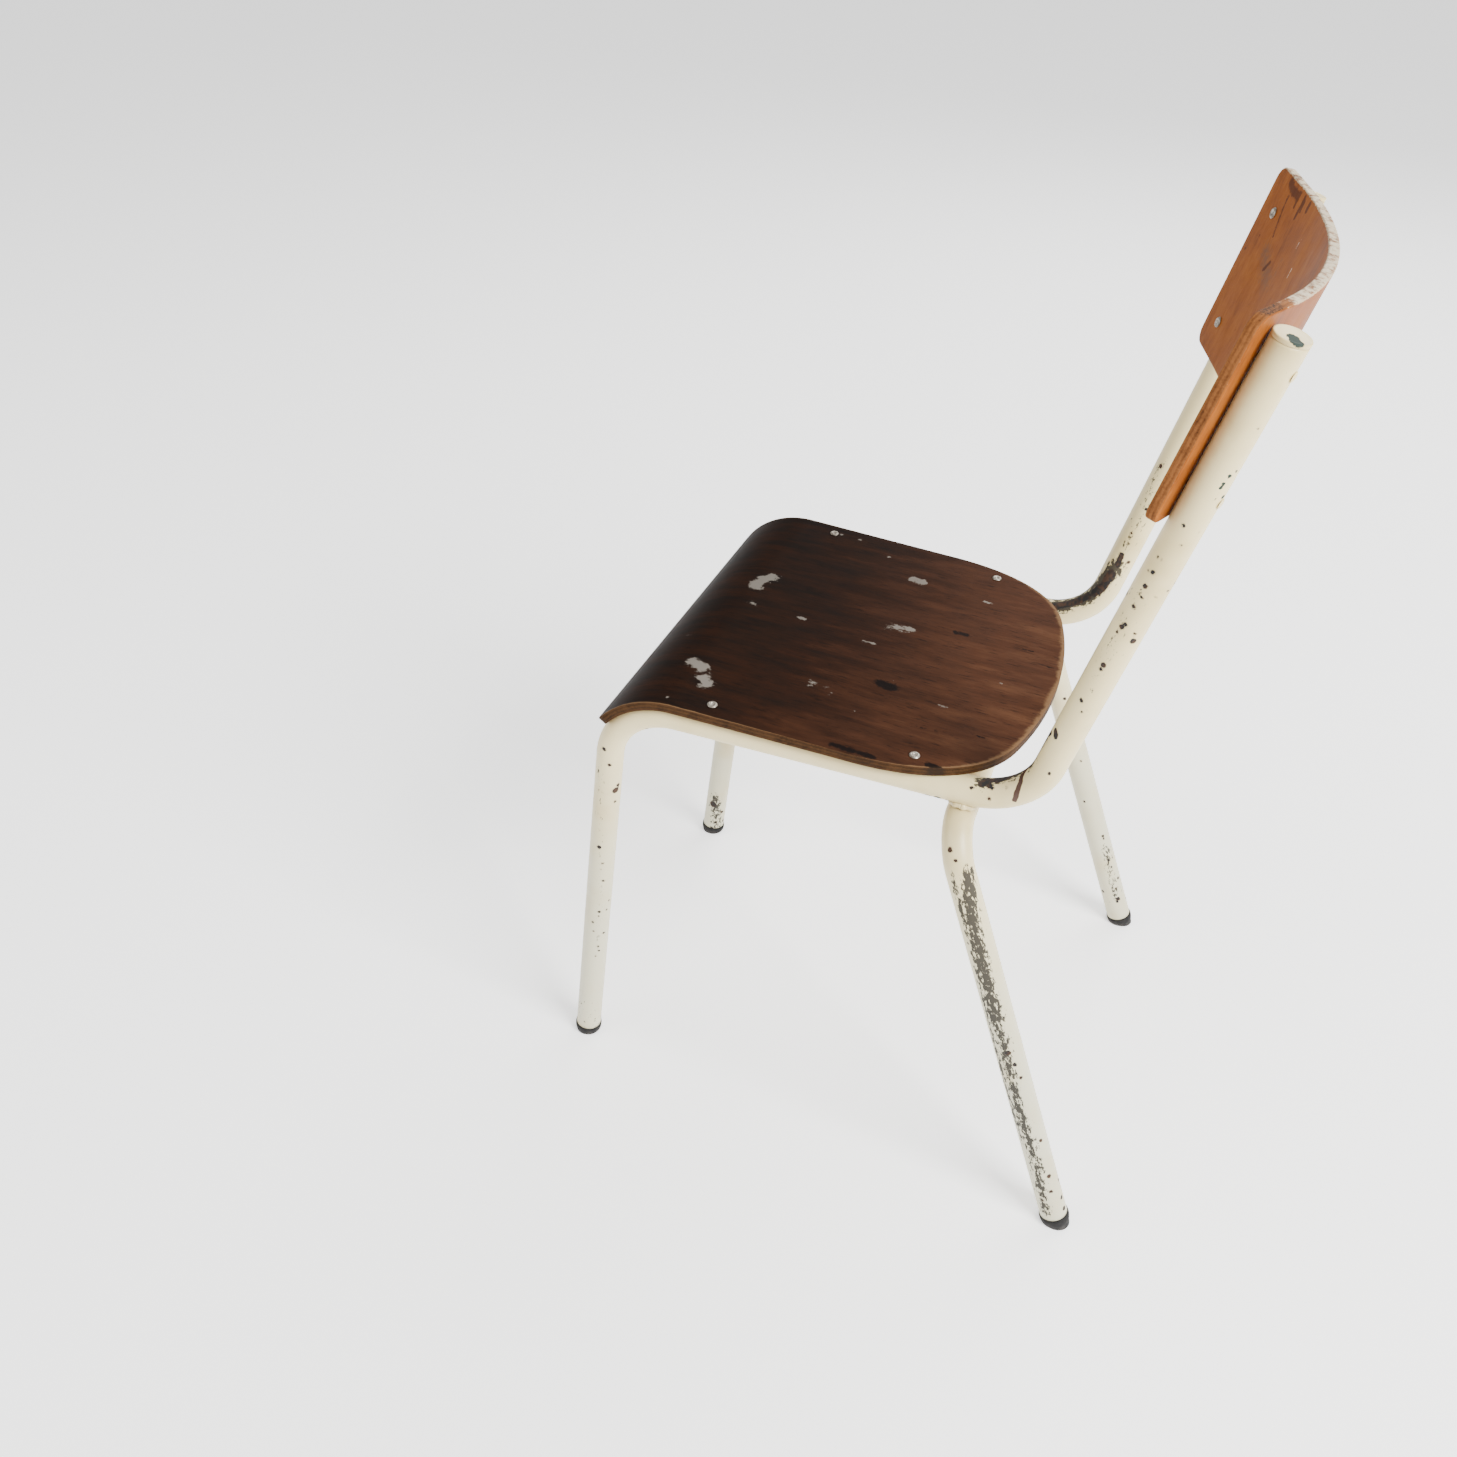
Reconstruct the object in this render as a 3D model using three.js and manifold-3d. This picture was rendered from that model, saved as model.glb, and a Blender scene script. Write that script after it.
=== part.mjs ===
// Stackable tube-and-plywood desk chair, in millimetres, +Z up, the sitter faces -Y.
// Origin: on the floor under the middle of the chair's bounding box. The working places below
// are measured from under the rails' front corners, and the last lines centre the chair.
import * as THREE from 'three';
import { mergeVertices } from 'three/addons/utils/BufferGeometryUtils.js';
import ManifoldModule from 'manifold-3d';

const wasm = await ManifoldModule();
wasm.setup();

// ---------------------------------------------------------------- driving dimensions
const TUBE_DIAMETER = 25;          // frame tube, outside
const TUBE_WALL = 1.5;
const FIT = 0.3;                   // clearance wherever two parts meet

const SEAT_HEIGHT = 456;           // top of the seat board above its front bend
const RAIL_LENGTH = 358;           // front corner to rear corner, measured level
const RAIL_DROP = 20;              // how much lower the rail's rear corner lies
const FRONT_HALF_WIDTH = 171;      // tube axis, front legs and front of the rails
const REAR_HALF_WIDTH = 149;       // tube axis at the rear corner of the rails
const TOP_HALF_WIDTH = 178;        // tube axis at the top of the uprights
const FRONT_FOOT_REACH = 50;       // front foot ahead of the front corner
const UPRIGHT_RISE = 415;          // rear corner to the top of the upright
const UPRIGHT_LEAN = 110;          // and how far it leans back
const FRONT_BEND_RADIUS = 62;      // tube centre line
const REAR_BEND_RADIUS = 58;

const HOOP_SETBACK = 50;           // the hoop's crossbar ahead of the rails' rear corner
const HOOP_STATION = RAIL_LENGTH - HOOP_SETBACK;
const HOOP_HALF_WIDTH = 185;       // leg axis where it leaves the crossbar
const HOOP_FOOT_HALF_WIDTH = 205;
const HOOP_FOOT_REACH = 139;       // rear foot behind the crossbar
const HOOP_BEND_RADIUS = 36;

const CROSS_TUBE_DIAMETER = 20;
const CROSS_TUBE_STATION = 130;

const PLY_THICKNESS = 8;
const SEAT_HALF_FRONT = 186;
const SEAT_HALF_REAR = 177;
const SEAT_SETBACK = 6;            // the seat's rear edge ahead of the rails' rear corner
const SEAT_LENGTH = RAIL_LENGTH - SEAT_SETBACK;
const SEAT_ROLL_ANGLE = 58;        // degrees of the front roll
const SEAT_CORNER_RADIUS = 12;

const BACK_HALF_WIDTH = 193;
const BACK_BOTTOM = 287;           // along the upright from the rear corner
const BACK_HEIGHT = 155;
const BACK_RADIUS = 430;           // front face
const BACK_END_ANGLE = 19.5;         // degrees, where the bend runs out straight
const BACK_CORNER_RADIUS = 12;

const SEAT_RIVET_INSET = 89;       // from either end of the seat's length
const SEAT_RIVET_STATIONS = [SEAT_RIVET_INSET, SEAT_LENGTH - SEAT_RIVET_INSET];
const BACK_RIVET_STATIONS = [314, 410];
const RIVET_SHANK_DIAMETER = 5;
const RIVET_HEAD_DIAMETER = 10;
const RIVET_HEAD_HEIGHT = 1.8;
const RIVET_TAIL_DIAMETER = 8;

const PLUG_DIAMETER = 27;
const PLUG_HEIGHT = 10;            // floor to tube end, along the leg
const PLUG_SPIGOT_LENGTH = 14;
const CAP_THICKNESS = 3;

const TUBE_SIDES = 24;
const BEND_STEP = 9;               // degrees of bend between two rings of the mesh

// ---------------------------------------------------------------- worked-out dimensions
const TUBE_RADIUS = TUBE_DIAMETER / 2;
const BORE_RADIUS = TUBE_RADIUS - TUBE_WALL;
const SPIGOT_RADIUS = BORE_RADIUS - FIT;
const BOARD_UNDERSIDE = TUBE_RADIUS + FIT;
const BOARD_FACE = BOARD_UNDERSIDE + PLY_THICKNESS;
const RAIL_TILT = Math.atan2(-RAIL_DROP, RAIL_LENGTH);
const FRONT_CORNER_HEIGHT = SEAT_HEIGHT - BOARD_FACE / Math.cos(RAIL_TILT);
const REAR_CORNER_HEIGHT = FRONT_CORNER_HEIGHT - RAIL_DROP;
const LEG_TILT = Math.atan2(FRONT_CORNER_HEIGHT, FRONT_FOOT_REACH);
const FRONT_BEND_TANGENT = FRONT_BEND_RADIUS * Math.tan((LEG_TILT - RAIL_TILT) / 2);
const SIDES = { left: 1, right: -1 };

const UP = new THREE.Vector3(0, UPRIGHT_LEAN, UPRIGHT_RISE).normalize();
const FORWARD = new THREE.Vector3(0, -UP.z, UP.y);
const RAIL = new THREE.Vector3(0, Math.cos(RAIL_TILT), Math.sin(RAIL_TILT));
const RAIL_NORMAL = new THREE.Vector3(0, -RAIL.z, RAIL.y);
const ACROSS = new THREE.Vector3(1, 0, 0);
const UPRIGHT_LENGTH = Math.hypot(UPRIGHT_LEAN, UPRIGHT_RISE);

const radians = THREE.MathUtils.degToRad;

/** A place beside the rail: across, along the rail from its front corner, and off its axis. */
function seatPlace(across, along, off) {
  return new THREE.Vector3(across, 0, FRONT_CORNER_HEIGHT)
    .addScaledVector(RAIL, along)
    .addScaledVector(RAIL_NORMAL, off);
}

/** A place beside the uprights: across, up from the rear corner, and ahead of their plane. */
function backPlace(across, up, ahead) {
  return new THREE.Vector3(across, RAIL_LENGTH, REAR_CORNER_HEIGHT)
    .addScaledVector(UP, up)
    .addScaledVector(FORWARD, ahead);
}

/** Half the distance between the rails, along them. */
function railHalfWidth(along) {
  const share = (along * Math.cos(RAIL_TILT)) / RAIL_LENGTH;
  return THREE.MathUtils.lerp(FRONT_HALF_WIDTH, REAR_HALF_WIDTH, share);
}

/** Half the distance between the uprights, up them. */
function uprightHalfWidth(up) {
  return THREE.MathUtils.lerp(REAR_HALF_WIDTH, TOP_HALF_WIDTH, up / UPRIGHT_LENGTH);
}

// ---------------------------------------------------------------- solids
/** A manifold solid from a closed three.js geometry. */
function toSolid(geometry) {
  const bare = new THREE.BufferGeometry();
  bare.setAttribute('position', geometry.getAttribute('position').clone());
  if (geometry.index) bare.setIndex(geometry.index.clone());
  const welded = mergeVertices(bare, 1e-3);
  const mesh = new wasm.Mesh({
    numProp: 3,
    vertProperties: new Float32Array(welded.getAttribute('position').array),
    triVerts: new Uint32Array(welded.index.array),
  });
  mesh.merge();
  return new wasm.Manifold(mesh);
}

/** The three.js geometry of a manifold solid. */
function toGeometry(solid) {
  const mesh = solid.getMesh();
  const geometry = new THREE.BufferGeometry();
  geometry.setAttribute('position', new THREE.BufferAttribute(mesh.vertProperties, 3));
  geometry.setIndex(new THREE.BufferAttribute(mesh.triVerts, 1));
  return geometry;
}

/** The body with every tool cut out of it. */
function cut(body, tools) {
  let solid = toSolid(body);
  for (const tool of tools) solid = solid.subtract(toSolid(tool));
  return toGeometry(solid);
}

/** What two bodies have in common. */
function common(one, other) {
  return toGeometry(toSolid(one).intersect(toSolid(other)));
}

/** Turns a body made round +Y so that +Y points along a direction, and moves it to a place. */
function aim(geometry, direction, place) {
  const turn = new THREE.Quaternion().setFromUnitVectors(new THREE.Vector3(0, 1, 0), direction);
  return geometry.applyQuaternion(turn).translate(place.x, place.y, place.z);
}

/** A body of revolution round +Y from its half section, which starts and ends on the axis. */
function turned(section, sides) {
  return new THREE.LatheGeometry(section.map(([x, y]) => new THREE.Vector2(x, y)), sides);
}

/** A drill of one diameter along a direction through a place. */
function drill(diameter, length, direction, place) {
  return aim(new THREE.CylinderGeometry(diameter / 2, diameter / 2, length, 16), direction, place);
}

// ---------------------------------------------------------------- bent tube
/** The centre line of a bent tube: straight runs joined by arcs, with a ring at every station. */
class BentCentreLine extends THREE.Curve {
  constructor(corners, radii) {
    super();
    this.places = [corners[0].clone()];
    this.tangents = [corners[1].clone().sub(corners[0]).normalize()];
    for (let i = 1; i < corners.length - 1; i += 1) {
      this.addBend(corners[i - 1], corners[i], corners[i + 1], radii[i - 1]);
    }
    this.places.push(corners.at(-1).clone());
    this.tangents.push(corners.at(-1).clone().sub(corners.at(-2)).normalize());
  }

  addBend(before, corner, after, radius) {
    const into = corner.clone().sub(before).normalize();
    const out = after.clone().sub(corner).normalize();
    const turn = into.angleTo(out);
    const start = corner.clone().addScaledVector(into, -radius * Math.tan(turn / 2));
    const inward = out.clone().addScaledVector(into, -out.dot(into)).normalize();
    const centre = start.clone().addScaledVector(inward, radius);
    const rings = Math.max(3, Math.ceil(THREE.MathUtils.radToDeg(turn) / BEND_STEP));
    for (let i = 0; i <= rings; i += 1) {
      const angle = (turn * i) / rings;
      this.places.push(
        centre.clone()
          .addScaledVector(inward, -radius * Math.cos(angle))
          .addScaledVector(into, radius * Math.sin(angle)),
      );
      this.tangents.push(
        into.clone().multiplyScalar(Math.cos(angle)).addScaledVector(inward, Math.sin(angle)),
      );
    }
  }

  get steps() {
    return this.places.length - 1;
  }

  getUtoTmapping(u) {
    return u;
  }

  getPoint(t, target = new THREE.Vector3()) {
    return this.between(this.places, t, target);
  }

  getTangent(t, target = new THREE.Vector3()) {
    return this.between(this.tangents, t, target).normalize();
  }

  between(list, t, target) {
    const at = t * this.steps;
    const low = Math.min(Math.floor(at + 1e-6), this.steps - 1);
    return target.lerpVectors(list[low], list[low + 1], Math.max(0, at - low));
  }
}

/** A round tube, open at both ends, along a centre line; no bore makes it a solid bar. */
function tubeAlong(centreLine, radius, bore) {
  const section = new THREE.Shape().absarc(0, 0, radius, 0, 2 * Math.PI, false);
  if (bore) section.holes.push(new THREE.Path().absarc(0, 0, bore, 0, 2 * Math.PI, true));
  return new THREE.ExtrudeGeometry(section, {
    steps: centreLine.steps,
    curveSegments: TUBE_SIDES / 2,
    extrudePath: centreLine,
  });
}

/** The point up a leg from the floor where the tube rests on its plug. */
function tubeEnd(foot, above) {
  return foot.clone().addScaledVector(above.clone().sub(foot).normalize(), PLUG_HEIGHT + FIT);
}

// ---------------------------------------------------------------- the frame's corners
function sideCorners(side) {
  const foot = new THREE.Vector3(side * FRONT_HALF_WIDTH, -FRONT_FOOT_REACH, 0);
  const front = new THREE.Vector3(side * FRONT_HALF_WIDTH, 0, FRONT_CORNER_HEIGHT);
  const rear = new THREE.Vector3(side * REAR_HALF_WIDTH, RAIL_LENGTH, REAR_CORNER_HEIGHT);
  const top = backPlace(side * TOP_HALF_WIDTH, UPRIGHT_LENGTH, 0);
  return { foot, front, rear, top };
}

function hoopCorners(side) {
  const bar = seatPlace(side * HOOP_HALF_WIDTH, HOOP_STATION, -(TUBE_DIAMETER + FIT));
  const foot = new THREE.Vector3(side * HOOP_FOOT_HALF_WIDTH, bar.y + HOOP_FOOT_REACH, 0);
  return { foot, bar };
}

/** Where a rivet crosses the tube, and the way its head faces. */
function rivetAxes(side) {
  const end = radians(BACK_END_ANGLE);
  const backward = new THREE.Vector3(-side * Math.sin(end), 0, 0)
    .addScaledVector(FORWARD, Math.cos(end));
  return {
    seat: SEAT_RIVET_STATIONS.map((along) => ({
      place: seatPlace(side * railHalfWidth(along), along, 0),
      facing: RAIL_NORMAL.clone(),
    })),
    back: BACK_RIVET_STATIONS.map((up) => ({
      place: backPlace(side * uprightHalfWidth(up), up, 0),
      facing: backward.clone(),
    })),
  };
}

function rivetDrills(list) {
  return list.map(({ place, facing }) => drill(RIVET_SHANK_DIAMETER + 2 * FIT, 80, facing, place));
}

// ---------------------------------------------------------------- sub-parts
/** Front leg, seat rail and upright, bent from one tube. */
function sideTube(side) {
  const { foot, front, rear, top } = sideCorners(side);
  const line = new BentCentreLine(
    [tubeEnd(foot, front), front, rear, top],
    [FRONT_BEND_RADIUS, REAR_BEND_RADIUS],
  );
  const axes = rivetAxes(side);
  return cut(tubeAlong(line, TUBE_RADIUS, BORE_RADIUS), rivetDrills([...axes.seat, ...axes.back]));
}

/** Both rear legs and the bar under the rails, bent from one tube. */
function rearHoop() {
  const left = hoopCorners(1);
  const right = hoopCorners(-1);
  const line = new BentCentreLine(
    [tubeEnd(left.foot, left.bar), left.bar, right.bar, tubeEnd(right.foot, right.bar)],
    [HOOP_BEND_RADIUS, HOOP_BEND_RADIUS],
  );
  return tubeAlong(line, TUBE_RADIUS, BORE_RADIUS);
}

/** The short tube between the rails, its ends shaped to their round sides. */
function frontCrossTube() {
  const reach = railHalfWidth(CROSS_TUBE_STATION);
  const line = new BentCentreLine(
    [seatPlace(-reach, CROSS_TUBE_STATION, 0), seatPlace(reach, CROSS_TUBE_STATION, 0)],
    [],
  );
  const radius = CROSS_TUBE_DIAMETER / 2;
  const rails = Object.values(SIDES).map((side) => {
    const from = seatPlace(side * railHalfWidth(0), 0, 0);
    const to = seatPlace(side * railHalfWidth(RAIL_LENGTH), RAIL_LENGTH, 0);
    return tubeAlong(new BentCentreLine([from, to], []), TUBE_RADIUS + FIT, 0);
  });
  return cut(tubeAlong(line, radius, radius - TUBE_WALL), rails);
}

/** A flat-capped prism of a section; its x, y and depth run along the three axes given. */
function prism(section, depth, xAxis, yAxis, zAxis, place, curveSegments = 12) {
  const body = new THREE.ExtrudeGeometry(section, { depth, steps: 1, bevelEnabled: false, curveSegments });
  const basis = new THREE.Matrix4().makeBasis(xAxis, yAxis, zAxis).setPosition(place);
  return body.applyMatrix4(basis);
}

/** The seat's outline from above: slightly tapered sides and a rounded rear edge. */
function seatOutline() {
  const front = FRONT_BEND_TANGENT - (FRONT_BEND_RADIUS + BOARD_FACE) * Math.sin(radians(SEAT_ROLL_ANGLE));
  const corner = SEAT_CORNER_RADIUS;
  const shoulder = SEAT_LENGTH * 0.585;
  const haunch = SEAT_HALF_REAR * 0.6;
  const outline = new THREE.Shape().moveTo(-SEAT_HALF_FRONT + corner, front - FIT);
  outline.lineTo(SEAT_HALF_FRONT - corner, front - FIT);
  outline.quadraticCurveTo(SEAT_HALF_FRONT, front - FIT, SEAT_HALF_FRONT, front + corner);
  outline.lineTo(SEAT_HALF_REAR, shoulder);
  outline.bezierCurveTo(
    SEAT_HALF_REAR, SEAT_LENGTH * 0.77, SEAT_HALF_REAR * 0.87, SEAT_LENGTH * 0.91,
    haunch, SEAT_LENGTH * 0.955,
  );
  outline.quadraticCurveTo(haunch * 0.52, SEAT_LENGTH, 0, SEAT_LENGTH);
  outline.quadraticCurveTo(-haunch * 0.52, SEAT_LENGTH, -haunch, SEAT_LENGTH * 0.955);
  outline.bezierCurveTo(
    -SEAT_HALF_REAR * 0.87, SEAT_LENGTH * 0.91, -SEAT_HALF_REAR, SEAT_LENGTH * 0.77,
    -SEAT_HALF_REAR, shoulder,
  );
  outline.lineTo(-SEAT_HALF_FRONT, front + corner);
  outline.quadraticCurveTo(-SEAT_HALF_FRONT, front - FIT, -SEAT_HALF_FRONT + corner, front - FIT);
  return outline;
}

/** Moulded plywood seat: flat over the rails, rolled down over their front bends. */
function seatBoard() {
  const roll = radians(SEAT_ROLL_ANGLE);
  const centreOff = -FRONT_BEND_RADIUS;
  const under = FRONT_BEND_RADIUS + BOARD_UNDERSIDE;
  const over = FRONT_BEND_RADIUS + BOARD_FACE;
  const quarter = Math.PI / 2;
  const side = new THREE.Shape().moveTo(SEAT_LENGTH + PLY_THICKNESS, BOARD_UNDERSIDE);
  side.lineTo(SEAT_LENGTH + PLY_THICKNESS, BOARD_FACE);
  side.absarc(FRONT_BEND_TANGENT, centreOff, over, quarter, quarter + roll, false);
  side.absarc(FRONT_BEND_TANGENT, centreOff, under, quarter + roll, quarter, true);
  side.closePath();
  const width = 2 * (SEAT_HALF_FRONT + PLY_THICKNESS);
  const bent = prism(side, width, RAIL, RAIL_NORMAL, ACROSS, seatPlace(-width / 2, 0, 0), 8);
  const plan = prism(
    seatOutline(), 4 * FRONT_BEND_RADIUS, ACROSS, RAIL, RAIL_NORMAL,
    seatPlace(0, 0, -2 * FRONT_BEND_RADIUS),
  );
  const axes = Object.values(SIDES).flatMap((s) => rivetAxes(s).seat);
  return cut(common(bent, plan), rivetDrills(axes));
}

/** The back board's section: an arc that runs out straight at both ends. */
function backSection() {
  const end = radians(BACK_END_ANGLE);
  const outer = BACK_RADIUS + PLY_THICKNESS;
  const axis = uprightHalfWidth(BACK_BOTTOM + BACK_HEIGHT / 2);
  const centre = (BOARD_UNDERSIDE + outer - axis * Math.sin(end)) / Math.cos(end);
  const run = (BACK_HALF_WIDTH - BACK_RADIUS * Math.sin(end)) / Math.cos(end);
  const below = -Math.PI / 2;
  const section = new THREE.Shape();
  const tip = (radius, side) => [
    side * (radius * Math.sin(end) + run * Math.cos(end)),
    centre - radius * Math.cos(end) + run * Math.sin(end),
  ];
  section.moveTo(...tip(outer, -1));
  section.absarc(0, centre, outer, below - end, below + end, false);
  section.lineTo(...tip(outer, 1));
  section.lineTo(...tip(BACK_RADIUS, 1));
  section.absarc(0, centre, BACK_RADIUS, below + end, below - end, true);
  section.lineTo(...tip(BACK_RADIUS, -1));
  section.closePath();
  return section;
}

/** A rectangle with rounded corners. */
function roundedRectangle(halfWidth, height, radius) {
  const shape = new THREE.Shape().moveTo(-halfWidth + radius, 0);
  shape.lineTo(halfWidth - radius, 0);
  shape.absarc(halfWidth - radius, radius, radius, -Math.PI / 2, 0, false);
  shape.lineTo(halfWidth, height - radius);
  shape.absarc(halfWidth - radius, height - radius, radius, 0, Math.PI / 2, false);
  shape.lineTo(-halfWidth + radius, height);
  shape.absarc(-halfWidth + radius, height - radius, radius, Math.PI / 2, Math.PI, false);
  shape.lineTo(-halfWidth, radius);
  shape.absarc(-halfWidth + radius, radius, radius, Math.PI, 1.5 * Math.PI, false);
  shape.closePath();
  return shape;
}

/** Moulded plywood back, hollow towards the sitter, spread a little with the uprights. */
function backBoard() {
  const leftward = ACROSS.clone().negate();
  const bent = prism(backSection(), BACK_HEIGHT, leftward, FORWARD, UP, backPlace(0, BACK_BOTTOM, 0));
  const depth = 2 * BACK_RADIUS;
  const face = prism(
    roundedRectangle(BACK_HALF_WIDTH, BACK_HEIGHT, BACK_CORNER_RADIUS), depth,
    ACROSS, UP, FORWARD, backPlace(0, BACK_BOTTOM, -depth / 2), 5,
  );
  const board = common(bent, face);
  const spread = board.getAttribute('position');
  const middle = uprightHalfWidth(BACK_BOTTOM + BACK_HEIGHT / 2);
  const corner = backPlace(0, 0, 0);
  const vertex = new THREE.Vector3();
  for (let i = 0; i < spread.count; i += 1) {
    vertex.fromBufferAttribute(spread, i);
    const up = vertex.clone().sub(corner).dot(UP);
    spread.setX(i, (vertex.x * uprightHalfWidth(up)) / middle);
  }
  const axes = Object.values(SIDES).flatMap((s) => rivetAxes(s).back);
  return cut(board, rivetDrills(axes));
}

/** Headed rivet through a board and the tube behind it, closed on the far side of the tube. */
function rivet({ place, facing }) {
  const shank = RIVET_SHANK_DIAMETER / 2;
  const head = RIVET_HEAD_DIAMETER / 2;
  const tail = RIVET_TAIL_DIAMETER / 2;
  const seat = BOARD_FACE + FIT;
  const clinch = -(TUBE_RADIUS + FIT);
  const height = RIVET_HEAD_HEIGHT;
  return aim(
    turned([
      [0, clinch - height * 0.8], [tail * 0.7, clinch - height * 0.8], [tail, clinch - height * 0.3],
      [tail, clinch], [shank, clinch], [shank, seat], [head, seat], [head, seat + height * 0.3],
      [head * 0.8, seat + height * 0.8], [head * 0.5, seat + height],
      [head * 0.34, seat + height], [head * 0.2, seat + height * 0.6], [0, seat + height * 0.5],
    ], 16),
    facing,
    place,
  );
}

/** Rubber foot with a spigot up the tube, cut level with the floor. */
function footPlug(foot, above) {
  const rim = PLUG_DIAMETER / 2;
  const up = above.clone().sub(foot).normalize();
  const body = aim(
    turned([
      [0, -PLUG_HEIGHT], [rim * 0.86, -PLUG_HEIGHT], [rim * 0.95, 0.28 * PLUG_HEIGHT],
      [rim, 0.5 * PLUG_HEIGHT], [rim, 0.86 * PLUG_HEIGHT], [rim * 0.95, PLUG_HEIGHT],
      [SPIGOT_RADIUS, PLUG_HEIGHT], [SPIGOT_RADIUS, PLUG_HEIGHT + PLUG_SPIGOT_LENGTH - 1],
      [SPIGOT_RADIUS - 1, PLUG_HEIGHT + PLUG_SPIGOT_LENGTH], [0, PLUG_HEIGHT + PLUG_SPIGOT_LENGTH],
    ], TUBE_SIDES),
    up,
    foot,
  );
  const below = new THREE.BoxGeometry(4 * PLUG_DIAMETER, 4 * PLUG_DIAMETER, 4 * PLUG_HEIGHT);
  below.translate(foot.x, foot.y, -2 * PLUG_HEIGHT);
  return cut(body, [below]);
}

/** Flat cap with a spigot down the top of an upright. */
function tubeCap(side) {
  const { rear, top } = sideCorners(side);
  const up = top.clone().sub(rear).normalize();
  const edge = 0.25 * CAP_THICKNESS;
  return aim(
    turned([
      [0, -3 * CAP_THICKNESS], [SPIGOT_RADIUS, -3 * CAP_THICKNESS], [SPIGOT_RADIUS, FIT],
      [TUBE_RADIUS, FIT], [TUBE_RADIUS, FIT + CAP_THICKNESS - edge],
      [TUBE_RADIUS - edge, FIT + CAP_THICKNESS], [0, FIT + CAP_THICKNESS],
    ], TUBE_SIDES),
    up,
    top,
  );
}

// ---------------------------------------------------------------- assembly
const LOOKS = {
  enamel: { color: 0xe9e4cf, roughness: 0.45, metalness: 0.0 },
  seatPly: { color: 0x4a2f20, roughness: 0.6, metalness: 0.0 },
  backPly: { color: 0x9a6233, roughness: 0.5, metalness: 0.0 },
  rivetSteel: { color: 0xb9b9b4, roughness: 0.35, metalness: 0.9 },
  rubber: { color: 0x2e2c2a, roughness: 0.8, metalness: 0.0 },
};

const chair = new THREE.Group();
chair.name = 'desk_chair';

function add(name, geometry, look) {
  geometry.computeVertexNormals();
  const mesh = new THREE.Mesh(geometry, new THREE.MeshStandardMaterial(LOOKS[look]));
  mesh.name = name;
  chair.add(mesh);
}

add('rear_leg_hoop', rearHoop(), 'enamel');
add('front_cross_tube', frontCrossTube(), 'enamel');
add('seat_board', seatBoard(), 'seatPly');
add('back_board', backBoard(), 'backPly');
for (const [word, side] of Object.entries(SIDES)) {
  const corners = sideCorners(side);
  const hoop = hoopCorners(side);
  const axes = rivetAxes(side);
  add(`side_tube_${word}`, sideTube(side), 'enamel');
  add(`tube_cap_${word}`, tubeCap(side), 'enamel');
  add(`foot_plug_front_${word}`, footPlug(corners.foot, corners.front), 'rubber');
  add(`foot_plug_rear_${word}`, footPlug(hoop.foot, hoop.bar), 'rubber');
  add(`seat_rivet_front_${word}`, rivet(axes.seat[0]), 'rivetSteel');
  add(`seat_rivet_rear_${word}`, rivet(axes.seat[1]), 'rivetSteel');
  add(`back_rivet_lower_${word}`, rivet(axes.back[0]), 'rivetSteel');
  add(`back_rivet_upper_${word}`, rivet(axes.back[1]), 'rivetSteel');
}

const middle = new THREE.Box3().setFromObject(chair).getCenter(new THREE.Vector3());
for (const mesh of chair.children) mesh.geometry.translate(0, -middle.y, 0);

export default chair;
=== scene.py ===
"""Finished look of the tube-and-plywood student desk chair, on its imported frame."""

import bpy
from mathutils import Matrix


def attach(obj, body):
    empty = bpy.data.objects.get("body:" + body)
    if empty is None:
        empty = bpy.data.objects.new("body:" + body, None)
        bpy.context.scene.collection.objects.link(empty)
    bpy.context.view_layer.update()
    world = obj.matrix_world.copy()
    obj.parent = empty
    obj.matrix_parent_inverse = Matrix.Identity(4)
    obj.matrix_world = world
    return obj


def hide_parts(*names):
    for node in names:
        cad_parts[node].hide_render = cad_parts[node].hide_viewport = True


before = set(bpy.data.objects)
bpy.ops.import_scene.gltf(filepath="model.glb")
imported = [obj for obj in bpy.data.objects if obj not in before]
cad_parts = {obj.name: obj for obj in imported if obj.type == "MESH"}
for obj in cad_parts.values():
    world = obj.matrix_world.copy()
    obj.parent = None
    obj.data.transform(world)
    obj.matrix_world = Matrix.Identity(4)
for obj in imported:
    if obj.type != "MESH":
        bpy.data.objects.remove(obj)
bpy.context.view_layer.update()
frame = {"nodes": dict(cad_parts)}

import logging
import math
from collections.abc import Callable
from dataclasses import dataclass, field
from enum import Enum

import bmesh
import bpy
from mathutils import Matrix, Quaternion, Vector, kdtree

log = logging.getLogger("desk_chair")

MM = 0.001
LAYERS = (
    "chip", "scuff", "grime", "green", "run", "rim", "rub", "depth", "stain", "chalk", "grey",
)


class Side(Enum):
    """The sitter's two sides, with the sign of X on each."""

    LEFT = 1
    RIGHT = -1

    @property
    def word(self) -> str:
        """The side's name as it stands in the CAD nodes."""
        return self.name.lower()


class Finish(Enum):
    """The record's material slots."""

    ENAMEL = "frame_enamel"
    SEAT_PLY = "seat_ply"
    BACK_PLY = "back_ply"
    RIVET_STEEL = "rivet_steel"
    RUBBER = "foot_rubber"


def linear(hex_value: str) -> tuple[float, float, float, float]:
    """Turns an sRGB hex colour into Blender's linear one.

    Args:
        hex_value: The colour as #RRGGBB.

    Returns:
        Linear red, green and blue, and a full alpha.
    """
    channels = [int(hex_value[i : i + 2], 16) / 255 for i in (1, 3, 5)]
    return (
        *(c / 12.92 if c <= 0.04045 else ((c + 0.055) / 1.055) ** 2.4 for c in channels),
        1.0,
    )


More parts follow.
